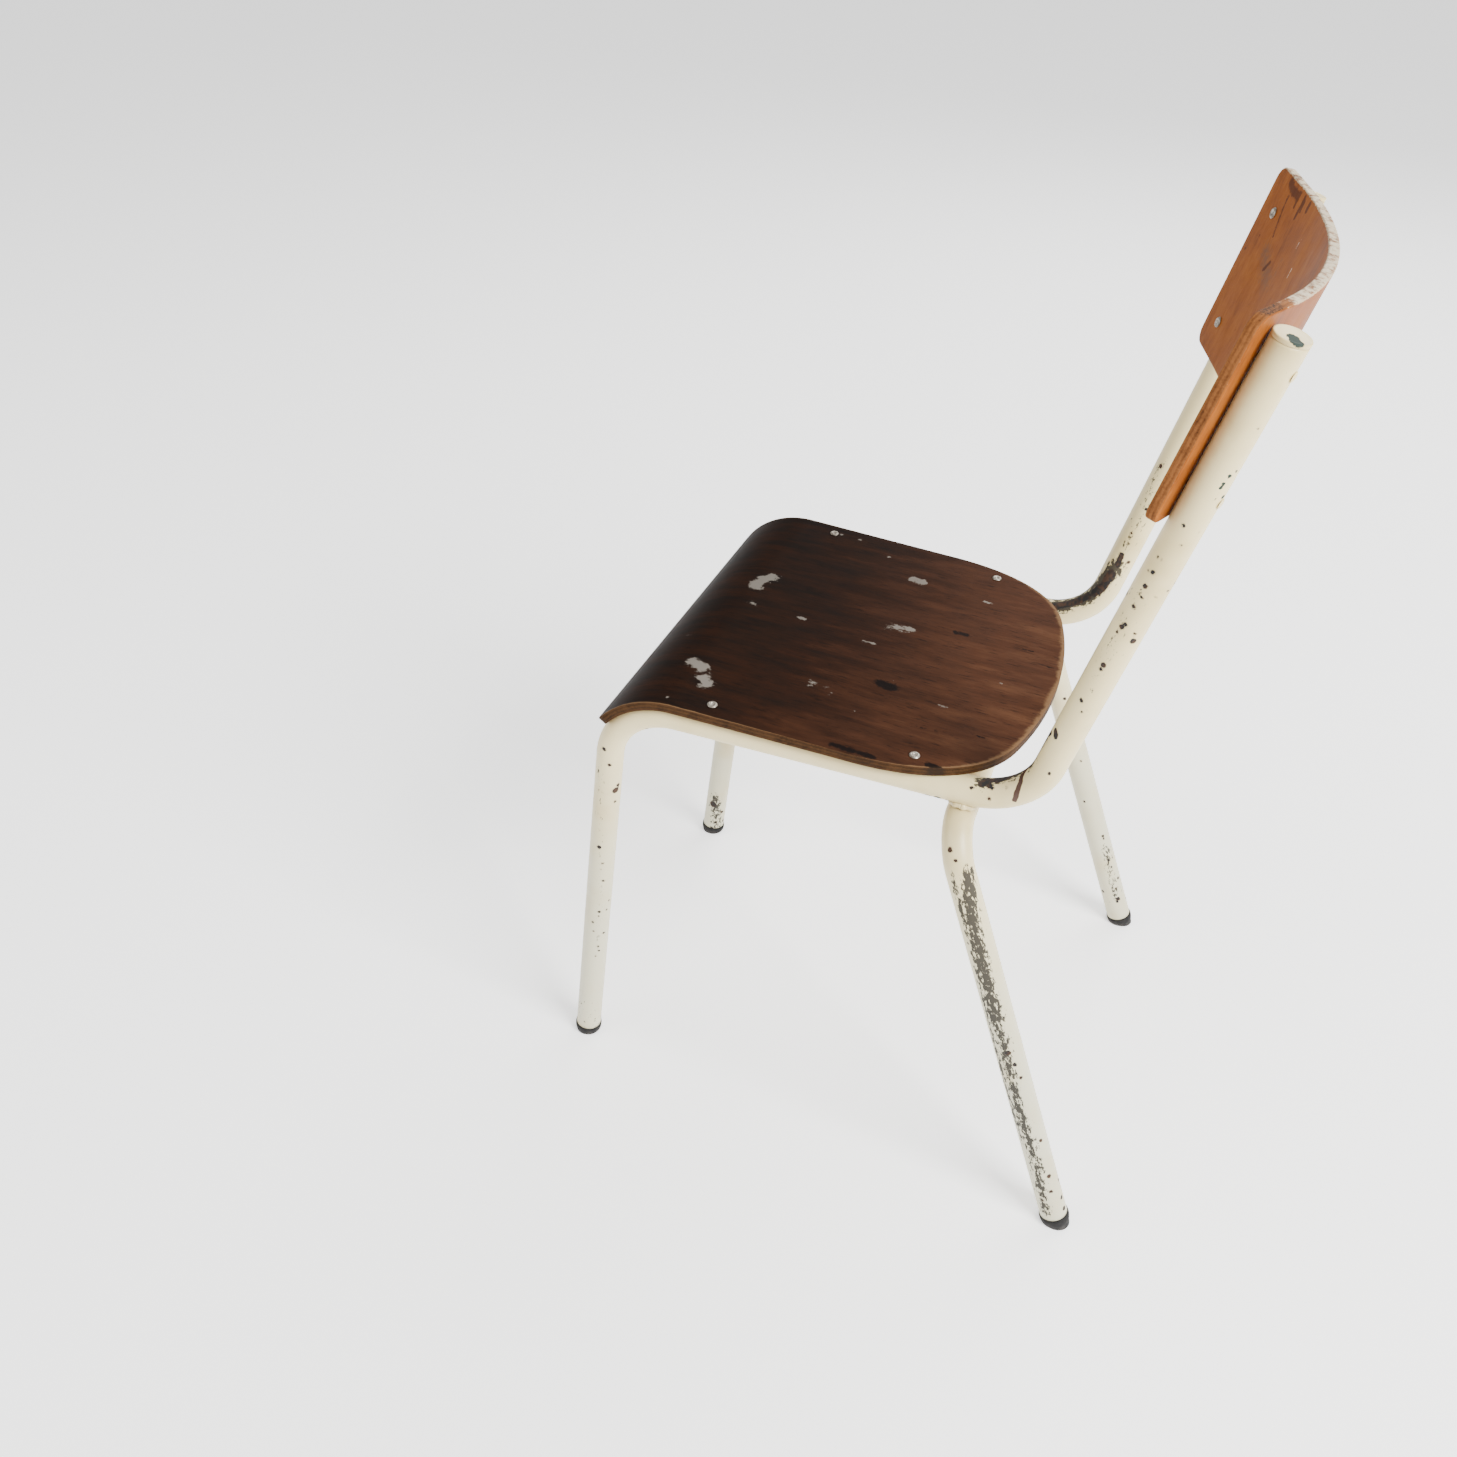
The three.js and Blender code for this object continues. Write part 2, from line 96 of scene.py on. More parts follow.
def add_node(
    tree: bpy.types.NodeTree, kind: str, settings: dict | None = None, inputs: dict | None = None
) -> bpy.types.Node:
    """Adds a node with its settings and its inputs.

    Args:
        tree: The tree that takes the node.
        kind: The node's type after "ShaderNode".
        settings: Its properties; "stops" holds a colour ramp's (position, hex) pairs.
        inputs: For each socket, by name or number, a value, a hex colour or a socket to link.

    Returns:
        The new node.
    """
    node = tree.nodes.new("ShaderNode" + kind)
    for name, value in (settings or {}).items():
        if name == "stops":
            ramp = node.color_ramp
            while len(ramp.elements) < len(value):
                ramp.elements.new(1.0)
            for element, (position, colour) in zip(ramp.elements, value):
                element.position, element.color = position, linear(colour)
        else:
            setattr(node, name, value)
    for name, value in (inputs or {}).items():
        socket = node.inputs[name]
        if isinstance(value, bpy.types.NodeSocket):
            tree.links.new(value, socket)
        else:
            socket.default_value = linear(value) if isinstance(value, str) else value
    return node


@dataclass
class Shader:
    """A material's node tree while it is put together."""

    name: str
    tree: bpy.types.NodeTree = field(init=False)
    material: bpy.types.Material = field(init=False)
    surface: bpy.types.Node = field(init=False)

    def __post_init__(self) -> None:
        """Starts the material with its surface and output."""
        self.material = bpy.data.materials.new(self.name)
        self.material.use_nodes = True
        self.tree = self.material.node_tree
        self.tree.nodes.clear()
        self.surface = add_node(self.tree, "BsdfPrincipled")
        add_node(self.tree, "OutputMaterial", None, {"Surface": self.surface.outputs[0]})

    def place(self) -> bpy.types.NodeSocket:
        """The point's own place on the object, in metres."""
        return add_node(self.tree, "TexCoord").outputs["Object"]

    def painted(self, name: str) -> bpy.types.NodeSocket:
        """The strength of one of the mesh's own attributes."""
        return add_node(self.tree, "Attribute", {"attribute_name": name}).outputs["Fac"]

    def lie(self) -> bpy.types.NodeSocket:
        """The point's place along and round its tube, or along and across its board."""
        return add_node(self.tree, "Attribute", {"attribute_name": "lie"}).outputs["Vector"]

    def stretched(
        self, vector: bpy.types.NodeSocket, scale: tuple, shift: tuple = (0, 0, 0)
    ) -> bpy.types.NodeSocket:
        """A vector with each axis scaled, then moved."""
        inputs = {"Vector": vector, "Scale": scale, "Location": shift}
        return add_node(self.tree, "Mapping", None, inputs).outputs[0]

    def cloud(
        self, vector: bpy.types.NodeSocket, grain_mm: float, detail: float = 3.0, rough: float = 0.55
    ) -> bpy.types.NodeSocket:
        """Fractal noise.

        Args:
            vector: Where it is read, in metres.
            grain_mm: The size of its largest blotches.
            detail: Octaves.
            rough: How strong each finer octave is.

        Returns:
            Its value, about 0.5 on average.
        """
        inputs = {"Vector": vector, "Scale": 1 / (grain_mm * MM), "Detail": detail, "Roughness": rough}
        return add_node(self.tree, "TexNoise", None, inputs).outputs["Fac"]

    def sums(self, operation: str, *terms: object) -> bpy.types.NodeSocket:
        """One arithmetic step on sockets or numbers."""
        node = add_node(self.tree, "Math", {"operation": operation}, dict(enumerate(terms)))
        return node.outputs[0]

    def total(self, *terms: tuple, offset: float = 0.0) -> bpy.types.NodeSocket:
        """Adds up sockets, each with its weight, and a fixed offset."""
        result: object = offset
        for socket, weight in terms:
            result = self.sums("MULTIPLY_ADD", socket, weight, result)
        return result

    def about_zero(self, noise: bpy.types.NodeSocket) -> bpy.types.NodeSocket:
        """A noise moved down, so that its average is 0."""
        return self.total((noise, 1), offset=-0.5)

    def step(
        self, value: bpy.types.NodeSocket, low: float, high: float, ends: tuple = (0.0, 1.0)
    ) -> bpy.types.NodeSocket:
        """A smooth step of a value between two levels."""
        inputs = {"Value": value, 1: low, 2: high, 3: ends[0], 4: ends[1]}
        settings = {"interpolation_type": "SMOOTHSTEP"}
        return add_node(self.tree, "MapRange", settings, inputs).outputs[0]

    def shows(
        self, name: str, ragged: tuple, levels: tuple[float, float], most: float = 1.0
    ) -> bpy.types.NodeSocket:
        """How strongly a mark of use shows once noise has broken up its edge.

        Args:
            name: The mesh's own attribute that holds the mark.
            ragged: The noise and its weight.
            levels: Where the mark starts to show, and where it shows fully.
            most: Its strength there.

        Returns:
            The strength.
        """
        return self.step(self.total((self.painted(name), 1), ragged), *levels, (0, most))

    def over(
        self, factor: bpy.types.NodeSocket, below: object, above: object
    ) -> bpy.types.NodeSocket:
        """One colour laid over another by a factor."""
        node = add_node(self.tree, "MixRGB", None, {"Fac": factor, "Color1": below, "Color2": above})
        return node.outputs[0]

    def ramp(self, value: bpy.types.NodeSocket, *stops: tuple) -> bpy.types.NodeSocket:
        """A colour for each value."""
        return add_node(self.tree, "ValToRGB", {"stops": stops}, {0: value}).outputs[0]

    def bump(self, height: bpy.types.NodeSocket, depth_mm: float) -> None:
        """Presses a height into the surface."""
        inputs = {"Height": height, "Distance": depth_mm * MM, "Strength": 1.0}
        normal = add_node(self.tree, "Bump", None, inputs).outputs[0]
        self.tree.links.new(normal, self.surface.inputs["Normal"])

    def surface_is(self, **inputs: object) -> bpy.types.Material:
        """Sets the surface's sockets, with "_" for a space, and gives the material."""
        for name, value in inputs.items():
            socket = self.surface.inputs[name.replace("_", " ")]
            if isinstance(value, bpy.types.NodeSocket):
                self.tree.links.new(value, socket)
            else:
                socket.default_value = linear(value) if isinstance(value, str) else value
        return self.material


# ------------------------------------------------------------------------------ finishes
@dataclass(frozen=True)
class StoveEnamel:
    """Ivory stove enamel on steel tube: thick, softly glossy, chipped down to dark steel."""

    ivory: str = "#D8C794"
    # Painted shade: the greyer, darker enamel that is painted low on the frame.
    shaded_low_ivory: str = "#C2BDA2"
    yellowed: str = "#B8A064"
    bare_steel: str = "#14100E"
    rusty_steel: str = "#3A2413"
    undercoat: str = "#1C2C24"
    varnish_run: str = "#3C200D"
    scuffed: str = "#17110D"
    grime: str = "#7C6A4C"

    def material(self) -> bpy.types.Material:
        """The finish as a material."""
        sh = Shader("ivory_stove_enamel")
        lie, place = sh.lie(), sh.place()
        height = add_node(sh.tree, "SeparateXYZ", None, {0: place}).outputs["Z"]
        # Painted shade: the enamel is painted greyer and darker low down, from 0.5 m towards 0.15 m above
        # the floor, as if the legs stood in shade.
        coat = sh.over(sh.step(height, 0.15, 0.5), self.shaded_low_ivory, self.ivory)
        coat = sh.over(sh.step(sh.cloud(place, 70), 0.45, 0.8, (0, 0.55)), coat, self.yellowed)
        dirt = sh.sums("MULTIPLY", sh.painted("grime"), sh.step(sh.cloud(place, 9, 5), 0.3, 0.7))
        coat = sh.over(dirt, coat, self.grime)
        # A chip's edge is broken up by flakes of 3 mm; knocks drag along the tube.
        flake = sh.cloud(sh.stretched(lie, (0.75, 1, 1)), 3.2, 5, 0.65)
        ragged = sh.about_zero(flake)
        bare = sh.shows("chip", (ragged, 0.7), (0.4, 0.45))
        halo = sh.shows("chip", (ragged, 0.7), (0.2, 0.4), 0.4)
        # Scuffs are grains of 2 mm by 5 mm, which thicken where the tube is rubbed.
        streak = sh.cloud(sh.stretched(lie, (0.42, 1, 1), (3, 1, 7)), 2.6, 6, 0.72)
        rubbed = sh.total((streak, 1), (sh.painted("scuff"), 0.4))
        scuffs = sh.step(rubbed, 0.71, 0.74, (0, 0.95))
        metal = sh.over(sh.step(sh.cloud(place, 5, 4), 0.4, 0.65), self.bare_steel, self.rusty_steel)
        green = sh.shows("green", (ragged, 0.7), (0.42, 0.5))
        run = sh.shows("run", (ragged, 0.42), (0.42, 0.5))
        colour = sh.over(halo, coat, self.grime)
        colour = sh.over(scuffs, colour, self.scuffed)
        colour = sh.over(run, colour, self.varnish_run)
        colour = sh.over(green, colour, self.undercoat)
        colour = sh.over(bare, colour, metal)
        pit = sh.sums("MAXIMUM", bare, green)
        sh.bump(sh.total((sh.cloud(place, 2.2, 2), 0.12), (pit, -1)), 0.35)
        lost = sh.sums("MAXIMUM", pit, scuffs)
        rough = sh.step(sh.total((lost, 1), (dirt, 0.5)), 0, 1, (0.36, 0.75))
        return sh.surface_is(Base_Color=colour, Roughness=rough, IOR=1.5, Specular_IOR_Level=0.4)


@dataclass(frozen=True)
class StainedPly:
    """Beech plywood seat, stained walnut and varnished, dulled by use, its grain front to back."""

    # The front, middle and rear tones are painted light and shade: darker at the front, lighter towards
    # the rear.
    front: str = "#130B07"
    middle: str = "#241208"
    rear: str = "#3A2113"
    warm: str = "#4E3220"
    pore: str = "#0A0503"
    chalk: str = "#767068"
    ink: str = "#050303"
    bare_edge: str = "#6B5138"
    under_dark: str = "#49301B"
    underside: str = "#6A4A2C"
    under_light: str = "#86623D"

    def material(self) -> bpy.types.Material:
        """The face veneer as a material."""
        sh = Shader("walnut_stained_beech_ply")
        lie = sh.lie()
        across, along = (
            add_node(sh.tree, "SeparateXYZ", None, {0: lie}).outputs[i] for i in (0, 1)
        )
        # Veneer figure: bands some 18 mm wide and 100 mm long, fibres 1.5 mm by 25 mm.
        figure = sh.cloud(sh.stretched(lie, (1, 0.18, 1)), 18, 6, 0.66)
        fibre = sh.cloud(sh.stretched(lie, (1, 0.06, 1), (5, 2, 1)), 1.6, 4, 0.6)
        blotch = sh.cloud(lie, 60, 4, 0.6)
        # Painted light: the top is painted darkest at the front edge and over the roll, and lighter
        # towards the rear, where the light falls more brightly.
        depth = sh.step(along, 0.05, 0.34, (0.0, 0.6))
        tone = sh.total(
            (depth, 1), (across, 0.1), (figure, 1.15), (blotch, 0.3), (fibre, 0.25), offset=-0.74
        )
        colour = sh.ramp(
            tone, (0.0, self.front), (0.3, self.middle), (0.68, self.rear), (1.0, self.warm)
        )
        pores = sh.step(
            sh.cloud(sh.stretched(lie, (1, 0.08, 1), (1, 7, 3)), 1.3, 2), 0.6, 0.72, (0, 0.6)
        )
        colour = sh.over(pores, colour, self.pore)
        # Smears of 5 mm by 30 mm, where the varnish has darkened.
        smear = sh.cloud(sh.stretched(lie, (1, 0.17, 1), (9, 1, 4)), 5, 5, 0.7)
        colour = sh.over(sh.step(smear, 0.55, 0.72, (0, 0.65)), colour, self.pore)
        edge = sh.cloud(sh.stretched(lie, (1, 0.5, 1)), 9, 5, 0.7)
        colour = sh.over(sh.shows("rim", (edge, 0.9), (0.92, 1.25), 0.8), colour, self.bare_edge)
        ragged = sh.about_zero(sh.cloud(sh.stretched(lie, (1, 0.7, 1), (2, 2, 2)), 8, 7, 0.72))
        colour = sh.over(sh.shows("stain", (ragged, 0.9), (0.45, 0.62), 0.9), colour, self.ink)
        chalk = sh.shows("chalk", (ragged, 1.5), (0.5, 0.66), 0.78)
        colour = sh.over(chalk, colour, self.chalk)
        rough = sh.step(sh.total((blotch, 0.6), (chalk, 1)), 0.1, 1.2, (0.5, 0.8))
        sh.bump(sh.total((fibre, 0.5), (chalk, 0.4)), 0.1)
        return sh.surface_is(Base_Color=colour, Roughness=rough, Specular_IOR_Level=0.03)

    def underside_material(self) -> bpy.types.Material:
        """The unstained veneer underneath."""
        sh = Shader("raw_beech_veneer")
        lie = sh.lie()
        fibre = sh.cloud(sh.stretched(lie, (1, 0.05, 1)), 2.5, 4, 0.6)
        figure = sh.cloud(sh.stretched(lie, (1, 0.15, 1)), 35, 4)
        tone = sh.total((fibre, 0.4), (figure, 0.6))
        colour = sh.ramp(
            tone, (0.3, self.under_dark), (0.5, self.underside), (0.7, self.under_light)
        )
        sh.bump(fibre, 0.1)
        return sh.surface_is(Base_Color=colour, Roughness=0.7, Specular_IOR_Level=0.2)


@dataclass(frozen=True)
class VarnishedPly:
    """Beech plywood back under orange varnish: glossy, scratched, its rim rubbed pale."""

    dark: str = "#542A0B"
    amber: str = "#7A4216"
    bright: str = "#8F5724"
    drip: str = "#361608"
    rubbed: str = "#5C4232"
    chalk: str = "#D8C2AE"
    bare_edge: str = "#B5A58A"

    def material(self) -> bpy.types.Material:
        """The face veneer as a material."""
        sh = Shader("amber_varnished_beech_ply")
        lie = sh.lie()
        # The grain runs up the board: fleck of 1 mm by 8 mm, figure of 12 mm by 50 mm.
        figure = sh.cloud(sh.stretched(lie, (1, 0.25, 1)), 12, 6, 0.65)
        fleck = sh.cloud(sh.stretched(lie, (1, 0.14, 1), (3, 5, 1)), 1.2, 3, 0.6)
        blotch = sh.cloud(lie, 50, 4)
        tone = sh.total((figure, 0.45), (blotch, 0.45), (fleck, 0.35))
        colour = sh.ramp(tone, (0.4, self.dark), (0.6, self.amber), (0.85, self.bright))
        ragged = sh.about_zero(sh.cloud(lie, 4, 6, 0.7))
        colour = sh.over(sh.shows("grey", (ragged, 0.9), (0.3, 0.8), 0.75), colour, self.rubbed)
        colour = sh.over(sh.shows("stain", (ragged, 0.5), (0.45, 0.6), 0.75), colour, self.drip)
        chalk = sh.shows("chalk", (ragged, 0.8), (0.5, 0.65), 0.8)
        colour = sh.over(chalk, colour, self.chalk)
        bare = sh.shows("rim", (ragged, 1.1), (0.45, 0.75), 0.85)
        colour = sh.over(bare, colour, self.bare_edge)
        rough = sh.step(sh.total((blotch, 1), (chalk, 1)), 0.2, 1.2, (0.38, 0.65))
        sh.bump(sh.total((fleck, 0.35), (figure, 1)), 0.08)
        return sh.surface_is(Base_Color=colour, Roughness=rough, Specular_IOR_Level=0.035)


@dataclass(frozen=True)
class PlyEdge:
    """The board's sawn edge: thin veneers under stain, with a few dark broken glue lines."""

    name: str
    light: str
    dark: str
    rubbed: str
    soiled: str = "#241A13"
    veneers: int = 5

    def material(self) -> bpy.types.Material:
        """The finish as a material."""
        sh = Shader(self.name)
        lie, place = sh.lie(), sh.place()
        glue_lines = self.veneers / 2
        turns = sh.total(
            (sh.painted("depth"), glue_lines), (sh.cloud(lie, 20, 4), 0.3 * glue_lines)
        )
        bands = sh.step(sh.sums("PINGPONG", turns, 0.5), 0.1, 0.32)
        fibre = sh.cloud(place, 1.8, 4, 0.65)
        tone = sh.total((bands, 0.13), (fibre, 0.5), (sh.cloud(place, 14, 5, 0.65), 0.6))
        colour = sh.ramp(tone, (0.35, self.dark), (0.75, self.light))
        nicks = sh.about_zero(sh.cloud(place, 7, 6, 0.7))
        colour = sh.over(sh.shows("rub", (nicks, 1.6), (0.45, 0.8), 0.9), colour, self.rubbed)
        soiled = sh.shows("stain", (sh.about_zero(fibre), 1.4), (0.35, 0.65), 0.9)
        colour = sh.over(soiled, colour, self.soiled)
        sh.bump(sh.total((bands, 0.4), (fibre, 1)), 0.15)
        return sh.surface_is(Base_Color=colour, Roughness=0.66, Specular_IOR_Level=0.05)


@dataclass(frozen=True)
class PlatedSteel:
    """Zinc-plated steel rivet: grey, brushed dull by wear."""

    plate: str = "#A59E92"
    dull: str = "#6A6056"

    def material(self) -> bpy.types.Material:
        """The finish as a material."""
        sh = Shader("zinc_plated_steel")
        place = sh.place()
        cloud = sh.cloud(place, 4, 5, 0.6)
        colour = sh.ramp(cloud, (0.35, self.dull), (0.62, self.plate))
        rough = sh.step(cloud, 0.3, 0.7, (0.55, 0.3))
        sh.bump(sh.cloud(place, 0.8, 2), 0.03)
        return sh.surface_is(Base_Color=colour, Roughness=rough, Metallic=0.85)


@dataclass(frozen=True)
class FootRubber:
    """Moulded black rubber, greyed by floor dust towards the ground."""

    rubber: str = "#161515"
    dust: str = "#4A4642"

    def material(self) -> bpy.types.Material:
        """The finish as a material."""
        sh = Shader("moulded_black_rubber")
        place = sh.place()
        height = add_node(sh.tree, "SeparateXYZ", None, {0: place}).outputs["Z"]
        low = sh.step(height, 0.0, 0.008, (0.75, 0.1))
        dust = sh.sums("MULTIPLY", low, sh.step(sh.cloud(place, 5, 5), 0.35, 0.7))
        colour = sh.over(dust, self.rubber, self.dust)
        sh.bump(sh.cloud(place, 1.0, 3), 0.08)
        return sh.surface_is(Base_Color=colour, Roughness=0.78, Specular_IOR_Level=0.25)


@dataclass
class Finishes:
    """Every finish of the chair, made once."""

    enamel: bpy.types.Material = field(init=False)
    seat_face: bpy.types.Material = field(init=False)
    seat_under: bpy.types.Material = field(init=False)
    seat_edge: bpy.types.Material = field(init=False)
    back_face: bpy.types.Material = field(init=False)
    back_edge: bpy.types.Material = field(init=False)
    steel: bpy.types.Material = field(init=False)
    rubber: bpy.types.Material = field(init=False)

    def __post_init__(self) -> None:
        """Makes the materials."""
        self.enamel = StoveEnamel().material()
        self.seat_face = StainedPly().material()
        self.seat_under = StainedPly().underside_material()
        self.seat_edge = PlyEdge("stained_ply_edge", "#432D1A", "#150C06", "#6B5941").material()
        self.back_face = VarnishedPly().material()
        self.back_edge = PlyEdge("varnished_ply_edge", "#80502B", "#442612", "#BDB199").material()
        self.steel = PlatedSteel().material()
        self.rubber = FootRubber().material()


# ------------------------------------------------------------------------------ marks of use
@dataclass(frozen=True)
class Mark:
    """A mark of wear or dirt with a soft edge, which a finish then breaks up.

    Attributes:
        path: The places that it runs through, in millimetres.
        radius: Half its width, where its strength is half.
        soft: How far inside and outside that edge it fades.
        strength: Its strength in the middle.
    """

    path: tuple[tuple[float, ...], ...]
    radius: float
    soft: float = 2.2
    strength: float = 1.0

    def mirrored(self) -> "Mark":
        """The same mark on the chair's other side."""
        path = tuple((-x, *rest) for x, *rest in self.path)
        return Mark(path, self.radius, self.soft, self.strength)

    def stamps(self) -> list[Vector]:
        """Places close together along its path, in metres."""
        points = [Vector((*point, 0.0)[:3]) * MM for point in self.path]
        stamps = [points[0]]
        for start, end in zip(points, points[1:]):
            count = math.ceil((end - start).length / (max(self.radius, 1.0) * MM))
            stamps.extend(start.lerp(end, i / count) for i in range(1, count + 1))
        return stamps


def spots(soft: float, *rows: tuple) -> list[Mark]:
    """Round marks.

    Args:
        soft: How far each fades, in millimetres.
        rows: For each, its place and then its radius, in millimetres.

    Returns:
        The marks.
    """
    return [Mark((row[:-1],), row[-1], soft) for row in rows]


def paint(
    bm: bmesh.types.BMesh, name: str, marks: list[Mark], laid_flat: bool = False
) -> None:
    """Writes the strength of some marks into one of the mesh's layers.

    Args:
        bm: The mesh.
        name: The layer.
        marks: The marks.
        laid_flat: Whether they are laid out on the flat board, not in the frame's coordinates.
    """
    layer, lie = bm.verts.layers.float[name], bm.verts.layers.float_vector["lie"]
    verts = list(bm.verts)
    tree = kdtree.KDTree(len(verts))
    for index, vert in enumerate(verts):
        tree.insert(vert[lie] if laid_flat else vert.co, index)
    tree.balance()
    for mark in marks:
        for stamp in mark.stamps():
            for _, index, away in tree.find_range(stamp, (mark.radius + mark.soft) * MM):
                level = 0.5 + (mark.radius - away / MM) / (2 * mark.soft)
                level = mark.strength * min(1.0, level)
                verts[index][layer] = max(verts[index][layer], level)


# ------------------------------------------------------------------------------ chair sizes
@dataclass(frozen=True)
class ChairSizes:
    """Sizes that the sub-assemblies share, in metres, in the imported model's frame."""

    corner_y: float = -0.21448
    corner_z: float = 0.43517
    rail_length: float = 0.358
    rail_drop: float = 0.020
    front_half: float = 0.171
    rear_half: float = 0.149
    top_half: float = 0.178
    foot_reach: float = 0.050
    upright_rise: float = 0.415
    upright_lean: float = 0.110
    tube_radius: float = 0.0125
    fit: float = 0.0003
    ply: float = 0.008

    @property
    def rail(self) -> Vector:
        """The way along a rail, to the rear."""
        return Vector((0, self.rail_length, -self.rail_drop)).normalized()

    @property
    def rail_normal(self) -> Vector:
        """The way up from a rail."""
        return Vector((0, -self.rail.z, self.rail.y))

    @property
    def up(self) -> Vector:
        """The way up the uprights' plane."""
        return Vector((0, self.upright_lean, self.upright_rise)).normalized()

    @property
    def forward(self) -> Vector:
        """The way ahead of the uprights' plane."""
        return Vector((0, -self.up.z, self.up.y))

    @property
    def upright_length(self) -> float:
        """The length of an upright in that plane."""
        return math.hypot(self.upright_rise, self.upright_lean)

    def seat_place(self, across: float, along: float, off: float) -> Vector:
        """A place beside the rails: across, along them from the front corner, off their axes."""
        corner = Vector((across, self.corner_y, self.corner_z))
        return corner + self.rail * along + self.rail_normal * off

    def back_place(self, across: float, up: float, ahead: float) -> Vector:
        """A place beside the uprights: across, up from the rear corner, ahead of their plane."""
        corner = Vector((across, self.corner_y + self.rail_length, self.corner_z - self.rail_drop))
        return corner + self.up * up + self.forward * ahead

    def rail_half(self, along: float) -> float:
        """Half the distance between the rails."""
        share = along * self.rail.y / self.rail_length
        return self.front_half + (self.rear_half - self.front_half) * share

    def upright_half(self, up: float) -> float:
        """Half the distance between the uprights."""
        return self.rear_half + (self.top_half - self.rear_half) * up / self.upright_length


# ------------------------------------------------------------------------------ mesh helpers
def new_mesh() -> bmesh.types.BMesh:
    """An empty mesh with the layers that the finishes read."""
    bm = bmesh.new()
    bm.verts.layers.float_vector.new("lie")
    for name in LAYERS:
        bm.verts.layers.float.new(name)
    return bm


def finish_piece(
    bm: bmesh.types.BMesh,
    name: str,
    slot: Finish,
    materials: list[bpy.types.Material],
    nodes: tuple[str, ...] = (),
) -> bpy.types.Object:
    """Turns a mesh into a piece that rides on the chair.

    Args:
        bm: The mesh, which is freed.
        name: The piece's name.
        slot: The record's material slot; not used.
        materials: Its materials, in the order of its faces' numbers.
        nodes: The CAD nodes that it stands for.

    Returns:
        The new object.
    """
    mesh = bpy.data.meshes.new(name)
    bm.to_mesh(mesh)
    bm.free()
    for material in materials:
        mesh.materials.append(material)
    mesh.shade_smooth()
    piece = bpy.data.objects.new(name, mesh)
    bpy.context.scene.collection.objects.link(piece)
    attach(piece, "root")
    if nodes:
        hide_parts(*nodes)
    log.info("%s: %d faces", name, len(mesh.polygons))
    return piece


def soften(piece: bpy.types.Object, width_mm: float, segments: int = 2) -> None:
    """Rounds a piece's sharp edges with a bevel modifier."""
    bevel = piece.modifiers.new("eased_edges", "BEVEL")
    bevel.width = width_mm * MM
    bevel.segments = segments
    bevel.limit_method = "ANGLE"
    bevel.angle_limit = math.radians(40)


def bent_run(corners: list[Vector], radii: list[float], step: float) -> list[tuple[Vector, Vector]]:
    """Follows a bent tube's centre line.

    Args:
        corners: Its ends and the corners that the bends round off.
        radii: The radius of each bend.
        step: The longest distance between two places.

    Returns:
        Places along it, each with the way the tube runs there.
    """
    legs: list[tuple[Vector, Vector]] = []
    start, heading = corners[0], (corners[1] - corners[0]).normalized()

    def straight(to: Vector) -> None:
        count = max(1, math.ceil((to - start).length / step))
        legs.extend((start.lerp(to, i / count), heading) for i in range(count))

    for corner, after, radius in zip(corners[1:], corners[2:], radii):
        out = (after - corner).normalized()
        turn = heading.angle(out)
        into = corner - heading * radius * math.tan(turn / 2)
        straight(into)
        inward = (out - heading * out.dot(heading)).normalized()
        centre = into + inward * radius
        count = max(6, math.ceil(radius * turn / step))
        for i in range(count):
            angle = turn * i / count
            place = centre - inward * radius * math.cos(angle) + heading * radius * math.sin(angle)
            legs.append((place, heading * math.cos(angle) + inward * math.sin(angle)))
        start = centre - inward * radius * math.cos(turn) + heading * radius * math.sin(turn)
        heading = out
    straight(corners[-1])
    legs.append((corners[-1], heading))
    return legs


def sweep(
    bm: bmesh.types.BMesh, run: list[tuple[Vector, Vector]], radii: list[float], sides: int
) -> None:
    """Draws a closed round bar along a run by extruding one ring from place to place.

    Args:
        bm: The mesh that takes it.
        run: Places and the way along at each.
        radii: The bar's radius at each place.
        sides: Corners of the ring.
    """
    lie = bm.verts.layers.float_vector["lie"]
    place, way = run[0]
    stand = Matrix.Translation(place) @ way.to_track_quat("Z", "Y").to_matrix().to_4x4()
    ring = bmesh.ops.create_circle(bm, segments=sides, radius=radii[0], matrix=stand)["verts"]
    edges = list(dict.fromkeys(edge for vert in ring for edge in vert.link_edges))
    bmesh.ops.contextual_create(bm, geom=edges)
    gone, back = 0.0, stand.inverted()
    for vert in ring:
        local = back @ vert.co
        vert[lie] = (gone, local.x, local.y)
    for (here, way_here), (there, way_there), before, after in zip(run, run[1:], radii, radii[1:]):
        grown = bmesh.ops.extrude_edge_only(bm, edges=edges)["geom"]
        ring = [part for part in grown if isinstance(part, bmesh.types.BMVert)]
        kept = set(ring)
        met = (edge for vert in ring for edge in vert.link_edges)
        edges = list(dict.fromkeys(edge for edge in met if kept.issuperset(edge.verts)))
        swing = way_here.rotation_difference(way_there).to_matrix().to_4x4()
        grow = Matrix.Scale(after / before, 4)
        move = Matrix.Translation(there) @ swing @ Matrix.Translation(-here)
        stand = move @ stand
        gone += (there - here).length
        swell = Matrix.Translation(here) @ grow @ Matrix.Translation(-here)
        bmesh.ops.transform(bm, matrix=move @ swell, verts=ring)
        back = stand.inverted()
        for vert in ring:
            local = back @ vert.co
            vert[lie] = (gone, local.x, local.y)
    bmesh.ops.contextual_create(bm, geom=edges)
    bmesh.ops.recalc_face_normals(bm, faces=bm.faces)


